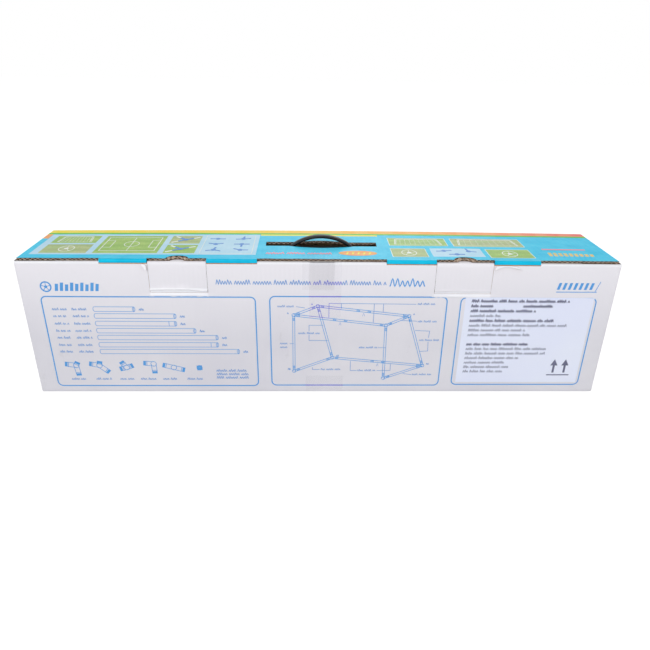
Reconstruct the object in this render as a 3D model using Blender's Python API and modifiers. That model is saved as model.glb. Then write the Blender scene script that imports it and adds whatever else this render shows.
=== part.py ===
"""Sports goal kit packed in its corrugated carton.

The carton lies along X, with its front wall at -Y and its bottom at Z = 0. The lid folds back on the
top edge of the back wall, and locks with four tongues behind the front wall. Inside lie the goal's
steel tubes, its plastic corner joints, the folded net and a bag of rubber sleeves.
"""

import math

import bmesh
import bpy
from mathutils import Matrix, Quaternion, Vector

# Carton board, in metres
BOARD = 0.004
FOLD_RADIUS = 0.003
FOLD_STEPS = 4
GAP = 0.0003
LID_EDGE_INSET = 0.005

# Room that the carton leaves round its kit
POST_END_PLAY = 0.0093
ROW_FRONT_GAP = 0.0009
ROW_BACK_GAP = 0.00045
HEADROOM = 0.0179

# Ends of the carton
EAR_DROP = 0.042
EAR_FLAP_GAP = 0.0064
EAR_FRONT_INSET = 0.016
EAR_BACK_INSET = 0.010
EAR_CORNER = 0.012

# Lid lock: on each side of the middle, tongue, press tab and tongue stand in a row
INNER_TONGUE_START = 0.1015
INNER_TONGUE_WIDTH = 0.078
PRESS_TAB_WIDTH = 0.091
OUTER_TONGUE_WIDTH = 0.073
TONGUE_SIDE_GAP = 0.0005
TONGUE_DROP = 0.024
TONGUE_TIP = 0.0015
TONGUE_FRONT_GAP = 0.002
TONGUE_BACK_GAP = 0.001
NOTCH_DEPTH = 0.003
PRESS_TAB_HEIGHT = 0.0505
PRESS_TAB_SIDE_GAP = 0.0004
THUMB_NOTCH_WIDTH = 0.030
THUMB_NOTCH_DEPTH = 0.010
NOTCH_STEPS = 12

# Inner flap that folds in from the top of the front wall
LEDGE_PAST_TONGUES = 0.0675
LEDGE_REACH = 0.050
LEDGE_CORNER = 0.030

# Carry handle and its slot in the lid
SLOT_LENGTH = 0.184
SLOT_WIDTH = 0.020
SLOT_BULGE_LENGTH = 0.108
SLOT_BULGE = 0.012
SLOT_SIDE_GAP = 0.0015
HANDLE_WIDTH = 0.010
HANDLE_ARCH_SPAN = 0.100
HANDLE_ARCH_HEIGHT = 0.0170
HANDLE_ARCH_THICKNESS = 0.004
HANDLE_BAR_THICKNESS = 0.003
HANDLE_BAR_OVERHANG = 0.022
HANDLE_EDGE_RADIUS = 0.0008
ARCH_STEPS = 14

# Label and packing tape
LABEL_END_INSET = 0.0335
LABEL_WIDTH = 0.2095
LABEL_BOTTOM = 0.0205
LABEL_HEIGHT = 0.158
LABEL_THICKNESS = 0.0003
TAPE_WIDTH = 0.051
TAPE_CENTRE_X = 0.0055
TAPE_THICKNESS = 0.0002
TAPE_FRONT_LENGTH = 0.090
TAPE_LID_LENGTH = 0.030
SECOND_STRIP_SHIFT = 0.011
SECOND_STRIP_LENGTH = 0.042
BOTTOM_TAPE_WIDTH = 0.063
BOTTOM_TAPE_CENTRE_X = 0.0063
BOTTOM_TAPE_LENGTH = 0.030

# Goal tubes
TUBE_RADIUS = 0.016
TUBE_WALL = 0.001
SWAGE_LENGTH = 0.060
SWAGE_TAPER = 0.006
POST_LENGTH = 0.920
CROSSBAR_LENGTH = 0.790
GROUND_SIDE_LENGTH = 0.655
BACK_STAY_LENGTH = 0.535
TOP_SIDE_LENGTH = 0.280
TUBE_STEPS = 20
TUBE_END_GAP = 0.0035
TUBES_PER_LAYER = 4

# Plastic joints of the goal
SPIGOT_GAP = 0.0004
SPIGOT_LENGTH = 0.032
JOINT_ARM = 0.048
JOINT_BALL_RADIUS = 0.0166
ELBOW_BEND_RADIUS = 0.036
ELBOW_ARM = 0.030
ELBOW_STEPS = 6
STRAIGHT_BODY = 0.070
SPIGOT_TIP = 0.002
BACK_LEAN = math.radians(20)
JOINT_STEPS = 16
ARM_TWIST = math.radians(7)
PAIR_ARM_GAP = 0.005
BACK_GROUND_PAIR_INSET = 0.008

# Net and sleeve bag
NET_LENGTH = 0.168
NET_HEIGHT = 0.074
NET_SIDE_GAP = 0.0052
SLEEVE_BAG_SIZE = (0.062, 0.100, 0.046)
SLEEVE_BAG_END_INSET = 0.001
SLEEVE_BAG_TUBE_GAP = 0.002

# Gaps between what lies in a row on top of the tubes
ELBOW_GAP = 0.0055
ELBOW_PAIR_GAP = 0.001
NET_GAP = 0.001
TOP_PAIR_GAP = 0.0025

# Places worked out from the sizes above
TUBE_PITCH = 2 * TUBE_RADIUS + GAP
LAYER_STEP = TUBE_PITCH * math.sin(math.radians(60))
JOINT_REACH = JOINT_ARM + SPIGOT_LENGTH
ELBOW_REACH = ELBOW_BEND_RADIUS + ELBOW_ARM + SPIGOT_LENGTH
FLOOR_INSIDE = BOARD + GAP
TUBE_STACK_TOP = FLOOR_INSIDE + 2 * TUBE_RADIUS + 3 * LAYER_STEP
KIT_TOP = TUBE_STACK_TOP + GAP + JOINT_BALL_RADIUS + JOINT_REACH
POST_ROOM = TUBE_END_GAP + POST_LENGTH
LAYER_LENGTH = max(CROSSBAR_LENGTH, BACK_STAY_LENGTH + TUBE_END_GAP + TOP_SIDE_LENGTH)
BAG_ROOM = TUBE_END_GAP + LAYER_LENGTH + SLEEVE_BAG_TUBE_GAP + SLEEVE_BAG_SIZE[0]
ROW_ROOM = (TUBES_PER_LAYER + 0.5) * TUBE_PITCH - GAP

CARTON_LENGTH = max(POST_ROOM, BAG_ROOM) + POST_END_PLAY + 4 * (BOARD + GAP)
CARTON_DEPTH = ROW_FRONT_GAP + ROW_ROOM + ROW_BACK_GAP + 2 * (BOARD + GAP)
CARTON_HEIGHT = KIT_TOP + HEADROOM + BOARD

HALF_LENGTH = CARTON_LENGTH / 2
FRONT = -CARTON_DEPTH / 2
BACK = CARTON_DEPTH / 2
LID_TOP = CARTON_HEIGHT
LID_BOTTOM = LID_TOP - BOARD
WALL_TOP = LID_BOTTOM - GAP
INNER_FRONT = FRONT + BOARD + GAP
INNER_BACK = BACK - BOARD - GAP
LID_HALF_LENGTH = HALF_LENGTH - BOARD
LID_RAW_EDGE = FRONT + LID_EDGE_INSET
LID_AXIS_Y = BACK + GAP
LID_AXIS_Z = WALL_TOP + GAP / 2
SLOT_FRONT_Y = (FRONT + BACK) / 2 - SLOT_WIDTH / 2
HANDLE_CENTRE_Y = SLOT_FRONT_Y + SLOT_SIDE_GAP + HANDLE_WIDTH / 2
END_INSIDE = HALF_LENGTH - 2 * (BOARD + GAP)
END_FLAP_HEIGHT = WALL_TOP - EAR_DROP - EAR_FLAP_GAP - FLOOR_INSIDE
TUBE_START = -END_INSIDE + TUBE_END_GAP
LABEL_LEFT = HALF_LENGTH - LABEL_END_INSET - LABEL_WIDTH
NET_DEPTH = INNER_BACK - INNER_FRONT - 2 * NET_SIDE_GAP

STRAIGHT_STEP = STRAIGHT_BODY + 2 * SPIGOT_LENGTH + TUBE_END_GAP
STRAIGHT_START = TUBE_START + STRAIGHT_BODY / 2 + SPIGOT_LENGTH
PAIR_SHIFT = 2 * TUBE_RADIUS + PAIR_ARM_GAP
BACK_GROUND_PAIR_X = STRAIGHT_START + STRAIGHT_STEP - BACK_GROUND_PAIR_INSET - PAIR_SHIFT / 2
RIGHT_ELBOW_X = BACK_GROUND_PAIR_X + PAIR_SHIFT / 2 + JOINT_REACH + ELBOW_GAP + ELBOW_REACH
LEFT_ELBOW_X = RIGHT_ELBOW_X - ELBOW_REACH - ELBOW_PAIR_GAP - TUBE_RADIUS
NET_START = RIGHT_ELBOW_X + TUBE_RADIUS + NET_GAP
TOP_PAIRS_START = max(NET_START + NET_LENGTH, TUBE_START + BACK_STAY_LENGTH) + TOP_PAIR_GAP
FRONT_TOP_PAIR_X = TOP_PAIRS_START + JOINT_REACH - PAIR_SHIFT / 2
BACK_TOP_PAIR_X = FRONT_TOP_PAIR_X + 2 * JOINT_REACH - PAIR_SHIFT + TOP_PAIR_GAP
SLEEVE_BAG_START = max(
    TUBE_START + POST_LENGTH - SLEEVE_BAG_END_INSET - SLEEVE_BAG_SIZE[0],
    TUBE_START + LAYER_LENGTH + SLEEVE_BAG_TUBE_GAP,
)

PRESS_TAB_START = INNER_TONGUE_START + INNER_TONGUE_WIDTH + TONGUE_SIDE_GAP
OUTER_TONGUE_START = PRESS_TAB_START + PRESS_TAB_WIDTH + TONGUE_SIDE_GAP
OUTER_TONGUE_END = OUTER_TONGUE_START + OUTER_TONGUE_WIDTH
LEDGE_HALF_LENGTH = OUTER_TONGUE_END + LEDGE_PAST_TONGUES
PRESS_TAB_CENTRE = PRESS_TAB_START + PRESS_TAB_WIDTH / 2
PRESS_TAB_BOTTOM = WALL_TOP - PRESS_TAB_HEIGHT
NOTCH_BOTTOM = WALL_TOP - NOTCH_DEPTH

# Planes for flat outlines: how each turns a flat shape, and the axis that it is made thick along
PLANE_XY = ((0, 0, 0), (0, 0, 1))
PLANE_XZ = ((math.radians(90), 0, 0), (0, 1, 0))
PLANE_YZ = ((math.radians(90), 0, math.radians(90)), (1, 0, 0))

COLOURS = {
    "white_board": ((0.80, 0.80, 0.84), 0.75, 0.0),
    "lid_print": ((0.10, 0.62, 0.80), 0.45, 0.0),
    "kraft_board": ((0.50, 0.36, 0.24), 0.9, 0.0),
    "black_plastic": ((0.02, 0.02, 0.025), 0.4, 0.0),
    "label_paper": ((0.80, 0.82, 0.95), 0.6, 0.0),
    "packing_tape": ((0.72, 0.73, 0.80), 0.2, 0.0),
    "white_steel": ((0.86, 0.87, 0.88), 0.35, 0.1),
    "blue_plastic": ((0.05, 0.22, 0.62), 0.4, 0.0),
    "net_cord": ((0.82, 0.83, 0.84), 0.85, 0.0),
    "clear_bag": ((0.12, 0.12, 0.13), 0.5, 0.0),
}

MODEL = None
CUTTERS = None
MATERIALS = {}


def clear_scene():
    """Removes the scene's objects and makes the two collections."""
    global MODEL, CUTTERS
    for item in list(bpy.data.objects):
        bpy.data.objects.remove(item)
    MODEL = bpy.data.collections.new("boxed_goal_kit")
    CUTTERS = bpy.data.collections.new("cutters")
    bpy.context.scene.collection.children.link(MODEL)
    bpy.context.scene.collection.children.link(CUTTERS)


def material(name):
    """The named material, made the first time that it is asked for."""
    if name not in MATERIALS:
        colour, roughness, metallic = COLOURS[name]
        made = bpy.data.materials.new(name)
        made.use_nodes = True
        shader = made.node_tree.nodes["Principled BSDF"]
        shader.inputs["Base Color"].default_value = (*colour, 1.0)
        shader.inputs["Roughness"].default_value = roughness
        shader.inputs["Metallic"].default_value = metallic
        MATERIALS[name] = made
    return MATERIALS[name]


def finish(item, finish_name, smooth_angle=None):
    """Gives a mesh object its material and, if asked, smooth shading below an angle in degrees."""
    item.data.materials.clear()
    item.data.materials.append(material(finish_name))
    if smooth_angle is not None:
        item.data.shade_smooth()
        item.data.set_sharp_from_angle(angle=math.radians(smooth_angle))
    return item


def as_mesh(curve_object, collection):
    """A mesh object made from a curve object, with its caps welded and its faces pointing out.

    A flat cap, whose points share one local height, becomes one face.
    """
    bpy.context.view_layer.update()
    graph = bpy.context.evaluated_depsgraph_get()
    mesh = bpy.data.meshes.new_from_object(curve_object.evaluated_get(graph))
    work = bmesh.new()
    work.from_mesh(mesh)
    bmesh.ops.remove_doubles(work, verts=work.verts, dist=0.00001)
    if curve_object.data.dimensions == "2D":
        caps = [face for face in work.faces if len({round(v.co.z, 6) for v in face.verts}) == 1]
        bmesh.ops.dissolve_faces(work, faces=caps)
    bmesh.ops.recalc_face_normals(work, faces=work.faces)
    work.to_mesh(mesh)
    work.free()
    name = curve_object.name
    placed = curve_object.matrix_world.copy()
    bpy.data.objects.remove(curve_object)
    item = bpy.data.objects.new(name, mesh)
    item.matrix_world = placed
    collection.objects.link(item)
    return item


def outline_solid(name, outline, low, high, plane, collection=None):
    """A flat outline in one plane, made solid between low and high along that plane's thick axis."""
    curve = bpy.data.curves.new(name, "CURVE")
    curve.dimensions = "2D"
    curve.fill_mode = "BOTH"
    curve.extrude = (high - low) / 2
    spline = curve.splines.new("POLY")
    spline.points.add(len(outline) - 1)
    for point, (across, up) in zip(spline.points, outline):
        point.co = (across, up, 0, 1)
    spline.use_cyclic_u = True
    item = bpy.data.objects.new(name, curve)
    turn, thick_axis = plane
    item.rotation_euler = turn
    item.location = Vector(thick_axis) * (low + high) / 2
    MODEL.objects.link(item)
    return as_mesh(item, collection or MODEL)


def rectangle(left, right, bottom, top):
    return [(left, bottom), (right, bottom), (right, top), (left, top)]


def arc(centre, radius, start, end, steps):
    """Points on an arc, angles in degrees."""
    turns = [math.radians(start + (end - start) * i / steps) for i in range(steps + 1)]
    return [(centre[0] + radius * math.cos(a), centre[1] + radius * math.sin(a)) for a in turns]


def cut(item, cutter):
    """Takes the cutter out of the item."""
    cutter.hide_render = True
    cutter.display_type = "WIRE"
    modifier = item.modifiers.new("cut", "BOOLEAN")
    modifier.operation = "DIFFERENCE"
    modifier.object = cutter


def join(item, other):
    """Adds the other solid to the item."""
    other.hide_render = True
    other.display_type = "WIRE"
    modifier = item.modifiers.new("join", "BOOLEAN")
    modifier.operation = "UNION"
    modifier.object = other


def pivot(name, place):
    """An empty on a joint's axis, which carries the moving pieces."""
    axis = bpy.data.objects.new(name, None)
    axis.empty_display_size = 0.02
    axis.location = place
    MODEL.objects.link(axis)
    return axis


def carry(axis, *items):
    """Hangs the items on an axis without moving them."""
    bpy.context.view_layer.update()
    for item in items:
        placed = item.matrix_world.copy()
        item.parent = axis
        item.matrix_parent_inverse = axis.matrix_world.inverted()
        item.matrix_world = placed


def wall_profile(outer, inward, top):
    """Cross-section of a standing wall, as (y, z), rounded on its outer edges; inward is +1 or -1."""
    inner = outer + inward * BOARD
    low = arc((FOLD_RADIUS, FOLD_RADIUS), FOLD_RADIUS, 180, 270, FOLD_STEPS)
    high = arc((FOLD_RADIUS, top - FOLD_RADIUS), FOLD_RADIUS, 90, 180, FOLD_STEPS)
    rounded = [(outer + inward * y, z) for y, z in high + low]
    return [*rounded, (inner, 0), (inner, top)]


def lock_recess(side):
    """Outline, as (x, z), of what the lock takes out of the front wall on one side."""
    over = WALL_TOP + BOARD
    steps = [
        (INNER_TONGUE_START - TONGUE_SIDE_GAP, over),
        (INNER_TONGUE_START - TONGUE_SIDE_GAP, NOTCH_BOTTOM),
        (PRESS_TAB_START, NOTCH_BOTTOM),
        (PRESS_TAB_START, PRESS_TAB_BOTTOM),
        (OUTER_TONGUE_START - TONGUE_SIDE_GAP, PRESS_TAB_BOTTOM),
        (OUTER_TONGUE_START - TONGUE_SIDE_GAP, NOTCH_BOTTOM),
        (OUTER_TONGUE_END + TONGUE_SIDE_GAP, NOTCH_BOTTOM),
        (OUTER_TONGUE_END + TONGUE_SIDE_GAP, over),
    ]
    return [(side * x, z) for x, z in steps]


def make_walls():
    """Front wall, back wall and bottom."""
    front = outline_solid(
        "front_wall", wall_profile(FRONT, 1, WALL_TOP), -HALF_LENGTH, HALF_LENGTH, PLANE_YZ
    )
    for side in (-1, 1):
        recess = outline_solid(
            "lock_recess", lock_recess(side), FRONT - BOARD, FRONT + 2 * BOARD, PLANE_XZ, collection=CUTTERS
        )
        cut(front, recess)
    finish(front, "white_board", 40)
    back = outline_solid(
        "back_wall", wall_profile(BACK, -1, WALL_TOP), -HALF_LENGTH, HALF_LENGTH, PLANE_YZ
    )
    finish(back, "white_board", 40)
    bottom = outline_solid(
        "bottom_panel",
        rectangle(-HALF_LENGTH + BOARD + GAP, HALF_LENGTH - BOARD - GAP, INNER_FRONT, INNER_BACK),
        0,
        BOARD,
        PLANE_XY,
    )
    finish(bottom, "white_board")


def make_ends():
    """The outer end panels, each glued over two inner end flaps."""
    for side, word in ((-1, "left"), (1, "right")):
        outer = side * HALF_LENGTH
        inner = side * (HALF_LENGTH - BOARD)
        panel = outline_solid(
            f"{word}_end_panel",
            rectangle(INNER_FRONT, INNER_BACK, 0, WALL_TOP),
            min(outer, inner),
            max(outer, inner),
            PLANE_YZ,
        )
        finish(panel, "white_board")
        face = inner - side * GAP
        back_face = face - side * BOARD
        for part, start, end in (
            ("front", INNER_FRONT, -GAP),
            ("back", GAP, INNER_BACK),
        ):
            flap = outline_solid(
                f"{word}_end_{part}_flap",
                rectangle(start, end, FLOOR_INSIDE, FLOOR_INSIDE + END_FLAP_HEIGHT),
                min(face, back_face),
                max(face, back_face),
                PLANE_YZ,
            )
            finish(flap, "kraft_board")


def tongue_spans():
    """Start and end of each tongue along X, with its name, from left to right."""
    inner = (INNER_TONGUE_START, INNER_TONGUE_START + INNER_TONGUE_WIDTH)
    outer = (OUTER_TONGUE_START, OUTER_TONGUE_END)
    return [
        ("lock_tongue_far_left", -outer[1], -outer[0]),
        ("lock_tongue_near_left", -inner[1], -inner[0]),
        ("lock_tongue_near_right", inner[0], inner[1]),
        ("lock_tongue_far_right", outer[0], outer[1]),
    ]


def thumb_notch(centre):
    """Half-oval bite in the lid's front edge over a press tab, as (x, y) from left to right."""
    bow = arc((0, 0), 1, 180, 0, NOTCH_STEPS)
    return [
        (centre + x * THUMB_NOTCH_WIDTH / 2, LID_RAW_EDGE + y * THUMB_NOTCH_DEPTH) for x, y in bow
    ]


def raw_edge_outline():
    """What is cut off the lid's front edge, as (x, y): all but the tongues, and a thumb notch over each tab."""
    beyond = FRONT - BOARD
    outline = [(-HALF_LENGTH, beyond), (-HALF_LENGTH, LID_RAW_EDGE)]
    for name, start, end in tongue_spans():
        outline += [(start, LID_RAW_EDGE), (start, beyond + GAP), (end, beyond + GAP), (end, LID_RAW_EDGE)]
        if name == "lock_tongue_far_left":
            outline += thumb_notch(-PRESS_TAB_CENTRE)
        if name == "lock_tongue_near_right":
            outline += thumb_notch(PRESS_TAB_CENTRE)
    return [*outline, (HALF_LENGTH, LID_RAW_EDGE), (HALF_LENGTH, beyond)]


def bulged_bar(length, front, width, bulge_length, bulge):
    """Outline of a straight bar whose front edge bows forward in the middle, as (x, y)."""
    bow = []
    for i in range(ARCH_STEPS + 1):
        share = -1 + 2 * i / ARCH_STEPS
        bow.append((share * bulge_length / 2, front - bulge * math.cos(share * math.pi / 2)))
    back = front + width
    return [(-length / 2, front), *bow, (length / 2, front), (length / 2, back), (-length / 2, back)]


def lid_profile():
    """Cross-section of the lid, as (y, z), rounded where it folds into the back wall."""
    fold = arc((BACK - FOLD_RADIUS, LID_TOP - FOLD_RADIUS), FOLD_RADIUS, 0, 90, FOLD_STEPS)
    return [(BACK, LID_BOTTOM), *fold, (FRONT, LID_TOP), (FRONT, LID_BOTTOM)]


def tongue_profile():
    """Cross-section of a tongue, as (y, z): flush with the front face, then down behind the wall."""
    outer = FRONT + BOARD + TONGUE_FRONT_GAP
    inner = outer + BOARD
    shelf = NOTCH_BOTTOM + GAP
    tip = LID_TOP - TONGUE_DROP
    return [
        (FRONT, WALL_TOP),
        (FRONT, shelf),
        (outer, shelf),
        (outer, tip + TONGUE_TIP),
        (outer + TONGUE_TIP, tip),
        (inner, tip),
        (inner, WALL_TOP),
    ]


def ear_outline():
    """A lid ear, as (y, z), with its two lower corners cut off."""
    front = INNER_FRONT + EAR_FRONT_INSET
    back = INNER_BACK - EAR_BACK_INSET
    low = WALL_TOP - EAR_DROP
    return [
        (front, WALL_TOP),
        (front, low + EAR_CORNER),
        (front + EAR_CORNER, low),
        (back - EAR_CORNER, low),
        (back, low + EAR_CORNER),
        (back, WALL_TOP),
    ]


def make_lid():
    """The lid with its handle slot, its two ears and its four lock tongues."""
    lid = outline_solid("lid_panel", lid_profile(), -LID_HALF_LENGTH, LID_HALF_LENGTH, PLANE_YZ)
    slot = bulged_bar(SLOT_LENGTH, SLOT_FRONT_Y, SLOT_WIDTH, SLOT_BULGE_LENGTH, SLOT_BULGE)
    for name, outline in (("lid_raw_edge", raw_edge_outline()), ("handle_slot", slot)):
        cutter = outline_solid(
            name, outline, LID_BOTTOM - BOARD, LID_TOP + BOARD, PLANE_XY, collection=CUTTERS
        )
        cut(lid, cutter)
    finish(lid, "lid_print", 40)
    hinge = pivot("lid_hinge_axis", (0, LID_AXIS_Y, LID_AXIS_Z))
    carry(hinge, lid)
    for name, start, end in tongue_spans():
        tongue = outline_solid(name, tongue_profile(), start, end, PLANE_YZ)
        finish(tongue, "lid_print")
        crease = pivot(f"{name}_axis", ((start + end) / 2, FRONT, WALL_TOP))
        carry(crease, tongue)
        carry(hinge, crease)
    for side, word in ((-1, "left"), (1, "right")):
        face = side * (LID_HALF_LENGTH - GAP)
        back_face = face - side * BOARD
        ear = outline_solid(
            f"{word}_lid_ear", ear_outline(), min(face, back_face), max(face, back_face), PLANE_YZ
        )
        finish(ear, "white_board")
        crease = pivot(f"{word}_lid_ear_axis", (back_face, 0, WALL_TOP))
        carry(crease, ear)
        carry(hinge, crease)
    return hinge


def make_front_flaps():
    """The inner ledge flap and the two press tabs of the front wall."""
    slit_back = FRONT + 2 * BOARD + TONGUE_FRONT_GAP + TONGUE_BACK_GAP
    outline = [(-LEDGE_HALF_LENGTH, INNER_FRONT)]
    for _, start, end in tongue_spans():
        left = start - TONGUE_SIDE_GAP
        right = end + TONGUE_SIDE_GAP
        outline += [(left, INNER_FRONT), (left, slit_back), (right, slit_back), (right, INNER_FRONT)]
    back_edge = INNER_FRONT + LEDGE_REACH
    outline += [
        (LEDGE_HALF_LENGTH, INNER_FRONT),
        (LEDGE_HALF_LENGTH, back_edge - LEDGE_CORNER),
        (LEDGE_HALF_LENGTH - LEDGE_CORNER, back_edge),
        (-LEDGE_HALF_LENGTH + LEDGE_CORNER, back_edge),
        (-LEDGE_HALF_LENGTH, back_edge - LEDGE_CORNER),
    ]
    ledge = outline_solid("front_ledge_flap", outline, WALL_TOP - BOARD, WALL_TOP, PLANE_XY)
    finish(ledge, "white_board")
    for side, word in ((-1, "left"), (1, "right")):
        near = side * (PRESS_TAB_START + PRESS_TAB_SIDE_GAP)
        far = side * (PRESS_TAB_START + PRESS_TAB_WIDTH - PRESS_TAB_SIDE_GAP)
        profile = wall_profile(FRONT, 1, WALL_TOP)
        profile = [(y, max(z, PRESS_TAB_BOTTOM + GAP)) for y, z in profile]
        corners = list(dict.fromkeys(profile))
        tab = outline_solid(f"{word}_press_tab", corners, min(near, far), max(near, far), PLANE_YZ)
        finish(tab, "white_board", 40)
        middle = side * PRESS_TAB_CENTRE
        carry(pivot(f"{word}_press_tab_axis", (middle, FRONT, PRESS_TAB_BOTTOM)), tab)


def arch_outline():
    """The handle's arch as (x, z), with feet that reach down into the bar under the lid."""
    half = HANDLE_ARCH_SPAN / 2
    radius = (half**2 + HANDLE_ARCH_HEIGHT**2) / (2 * HANDLE_ARCH_HEIGHT)
    centre = (0, LID_TOP + HANDLE_ARCH_HEIGHT - radius)
    spread = math.degrees(math.asin(half / radius))
    foot = LID_BOTTOM - GAP - HANDLE_BAR_THICKNESS / 2
    inner_radius = radius - HANDLE_ARCH_THICKNESS
    outer = arc(centre, radius, 90 - spread, 90 + spread, ARCH_STEPS)
    inner = arc(centre, inner_radius, 90 + spread, 90 - spread, ARCH_STEPS)
    outer_foot = half + HANDLE_ARCH_THICKNESS / 2
    inner_foot = half - HANDLE_ARCH_THICKNESS
    return [
        (outer_foot, foot),
        *outer,
        (-outer_foot, foot),
        (-inner_foot, foot),
        *inner,
        (inner_foot, foot),
    ]


def make_handle(hinge):
    """The moulded carry handle: an arch through the slot, on a bowed bar that bears under the lid."""
    top = LID_BOTTOM - GAP
    front = HANDLE_CENTRE_Y - HANDLE_WIDTH / 2
    bar = bulged_bar(
        SLOT_LENGTH + 2 * HANDLE_BAR_OVERHANG, front, HANDLE_WIDTH, SLOT_BULGE_LENGTH, SLOT_BULGE
    )
    handle = outline_solid("carry_handle", bar, top - HANDLE_BAR_THICKNESS, top, PLANE_XY)
    arch = outline_solid(
        "handle_arch",
        arch_outline(),
        front + GAP,
        front + HANDLE_WIDTH - GAP,
        PLANE_XZ,
        collection=CUTTERS,
    )
    join(handle, arch)
    rounding = handle.modifiers.new("soft_edges", "BEVEL")
    rounding.width = HANDLE_EDGE_RADIUS
    rounding.segments = 1
    rounding.limit_method = "ANGLE"
    rounding.angle_limit = math.radians(50)
    finish(handle, "black_plastic", 40)
    slide = pivot("handle_axis", (0, HANDLE_CENTRE_Y, LID_TOP))
    carry(slide, handle)
    carry(hinge, slide)


def make_label():
    """The stuck-on paper label."""
    face = FRONT - GAP
    label = outline_solid(
        "label_sticker",
        rectangle(LABEL_LEFT, LABEL_LEFT + LABEL_WIDTH, LABEL_BOTTOM, LABEL_BOTTOM + LABEL_HEIGHT),
        face - LABEL_THICKNESS,
        face,
        PLANE_XZ,
    )
    finish(label, "label_paper")


def make_tape(hinge):
    """Two lapped strips over the lid's seam, slit where it meets the wall, and the end of the bottom's tape."""
    face = FRONT - GAP
    left = TAPE_CENTRE_X - TAPE_WIDTH / 2
    right = TAPE_CENTRE_X + TAPE_WIDTH / 2
    lapped_left = left - SECOND_STRIP_SHIFT
    top = WALL_TOP - FOLD_RADIUS
    strips = [
        (lapped_left, top),
        (lapped_left, top - SECOND_STRIP_LENGTH),
        (left, top - SECOND_STRIP_LENGTH),
        (left, top - TAPE_FRONT_LENGTH),
        (right, top - TAPE_FRONT_LENGTH),
        (right, top),
    ]
    tape = outline_solid("tape_front", strips, face - TAPE_THICKNESS, face, PLANE_XZ)
    finish(tape, "packing_tape")
    bottom_left = BOTTOM_TAPE_CENTRE_X - BOTTOM_TAPE_WIDTH / 2
    tape_bottom = outline_solid(
        "tape_bottom",
        rectangle(bottom_left, bottom_left + BOTTOM_TAPE_WIDTH, FOLD_RADIUS, FOLD_RADIUS + BOTTOM_TAPE_LENGTH),
        face - TAPE_THICKNESS,
        face,
        PLANE_XZ,
    )
    finish(tape_bottom, "packing_tape")
    surface = LID_TOP + GAP
    tape_lid = outline_solid(
        "tape_lid",
        rectangle(lapped_left, right, LID_RAW_EDGE, LID_RAW_EDGE + TAPE_LID_LENGTH),
        surface,
        surface + TAPE_THICKNESS,
        PLANE_XY,
    )
    finish(tape_lid, "packing_tape")
    carry(hinge, tape_lid)


def turned(name, profile, steps, collection=None):
    """A closed (radius, height) profile turned round Z, as an object."""
    mesh = bpy.data.meshes.new(name)
    edges = [(i, (i + 1) % len(profile)) for i in range(len(profile))]
    mesh.from_pydata([(radius, 0, height) for radius, height in profile], edges, [])
    item = bpy.data.objects.new(name, mesh)
    (collection or MODEL).objects.link(item)
    screw = item.modifiers.new("turn", "SCREW")
    screw.steps = steps
    screw.render_steps = steps
    screw.use_merge_vertices = True
    screw.merge_threshold = 0.00001
    return item


def tube_profile(length, swaged):
    """Wall of a tube as (radius, height): down its outer side, then up its inner side."""
    outer = TUBE_RADIUS
    inner = outer - TUBE_WALL
    if not swaged:
        return [(outer, length), (outer, 0), (inner, 0), (inner, length)]
    small = spigot_radius()
    neck = length - SWAGE_LENGTH
    return [
        (small, length),
        (small, neck),
        (outer, neck - SWAGE_TAPER),
        (outer, 0),
        (inner, 0),
        (inner, neck - SWAGE_TAPER),
        (small - TUBE_WALL, neck),
        (small - TUBE_WALL, length),
    ]


def spigot_radius():
    """What slides into a tube's bore."""
    return TUBE_RADIUS - TUBE_WALL - SPIGOT_GAP


def layer_height(layer):
    """Height of a layer's tube axes; each layer nests in the one under it."""
    return FLOOR_INSIDE + TUBE_RADIUS + layer * LAYER_STEP


def row_place(layer, row):
    """Y of a tube's axis; odd layers are shifted half a pitch."""
    shift = TUBE_PITCH / 2 if layer % 2 else 0
    return INNER_FRONT + ROW_FRONT_GAP + TUBE_RADIUS + row * TUBE_PITCH + shift


def make_tube(name, length, swaged, layer, row, start):
    """One tube lying along X, with its plain end at start."""
    tube = turned(name, tube_profile(length, swaged), TUBE_STEPS)
    tube.rotation_euler = (0, math.radians(90), 0)
    tube.location = (start, row_place(layer, row), layer_height(layer))
    finish(tube, "white_steel", 40)
    return start + length


def make_tubes():
    """All sixteen tubes, in nested layers from the bottom up."""
    left = TUBE_START
    long_tubes = [
        ("post_tube_left", POST_LENGTH, False),
        ("post_tube_right", POST_LENGTH, False),
        ("front_crossbar_tube", CROSSBAR_LENGTH, False),
        ("front_crossbar_tube_swaged", CROSSBAR_LENGTH, True),
        ("back_crossbar_tube", CROSSBAR_LENGTH, False),
        ("back_crossbar_tube_swaged", CROSSBAR_LENGTH, True),
        ("ground_bar_tube", CROSSBAR_LENGTH, False),
        ("ground_bar_tube_swaged", CROSSBAR_LENGTH, True),
    ]
    for i, (name, length, swaged) in enumerate(long_tubes):
        layer, row = divmod(i, TUBES_PER_LAYER)
        make_tube(name, length, swaged, layer, row, left)
    for word, outer_row, middle_row, swaged_row in (("left", 0, 1, 0), ("right", 3, 2, 1)):
        end = make_tube(f"back_stay_tube_{word}", BACK_STAY_LENGTH, False, 2, outer_row, left)
        make_tube(f"top_side_tube_{word}", TOP_SIDE_LENGTH, False, 2, outer_row, end + TUBE_END_GAP)
        make_tube(f"ground_side_tube_{word}", GROUND_SIDE_LENGTH, False, 2, middle_row, left)
        make_tube(f"back_stay_tube_{word}_swaged", BACK_STAY_LENGTH, True, 3, swaged_row, left)


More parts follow.
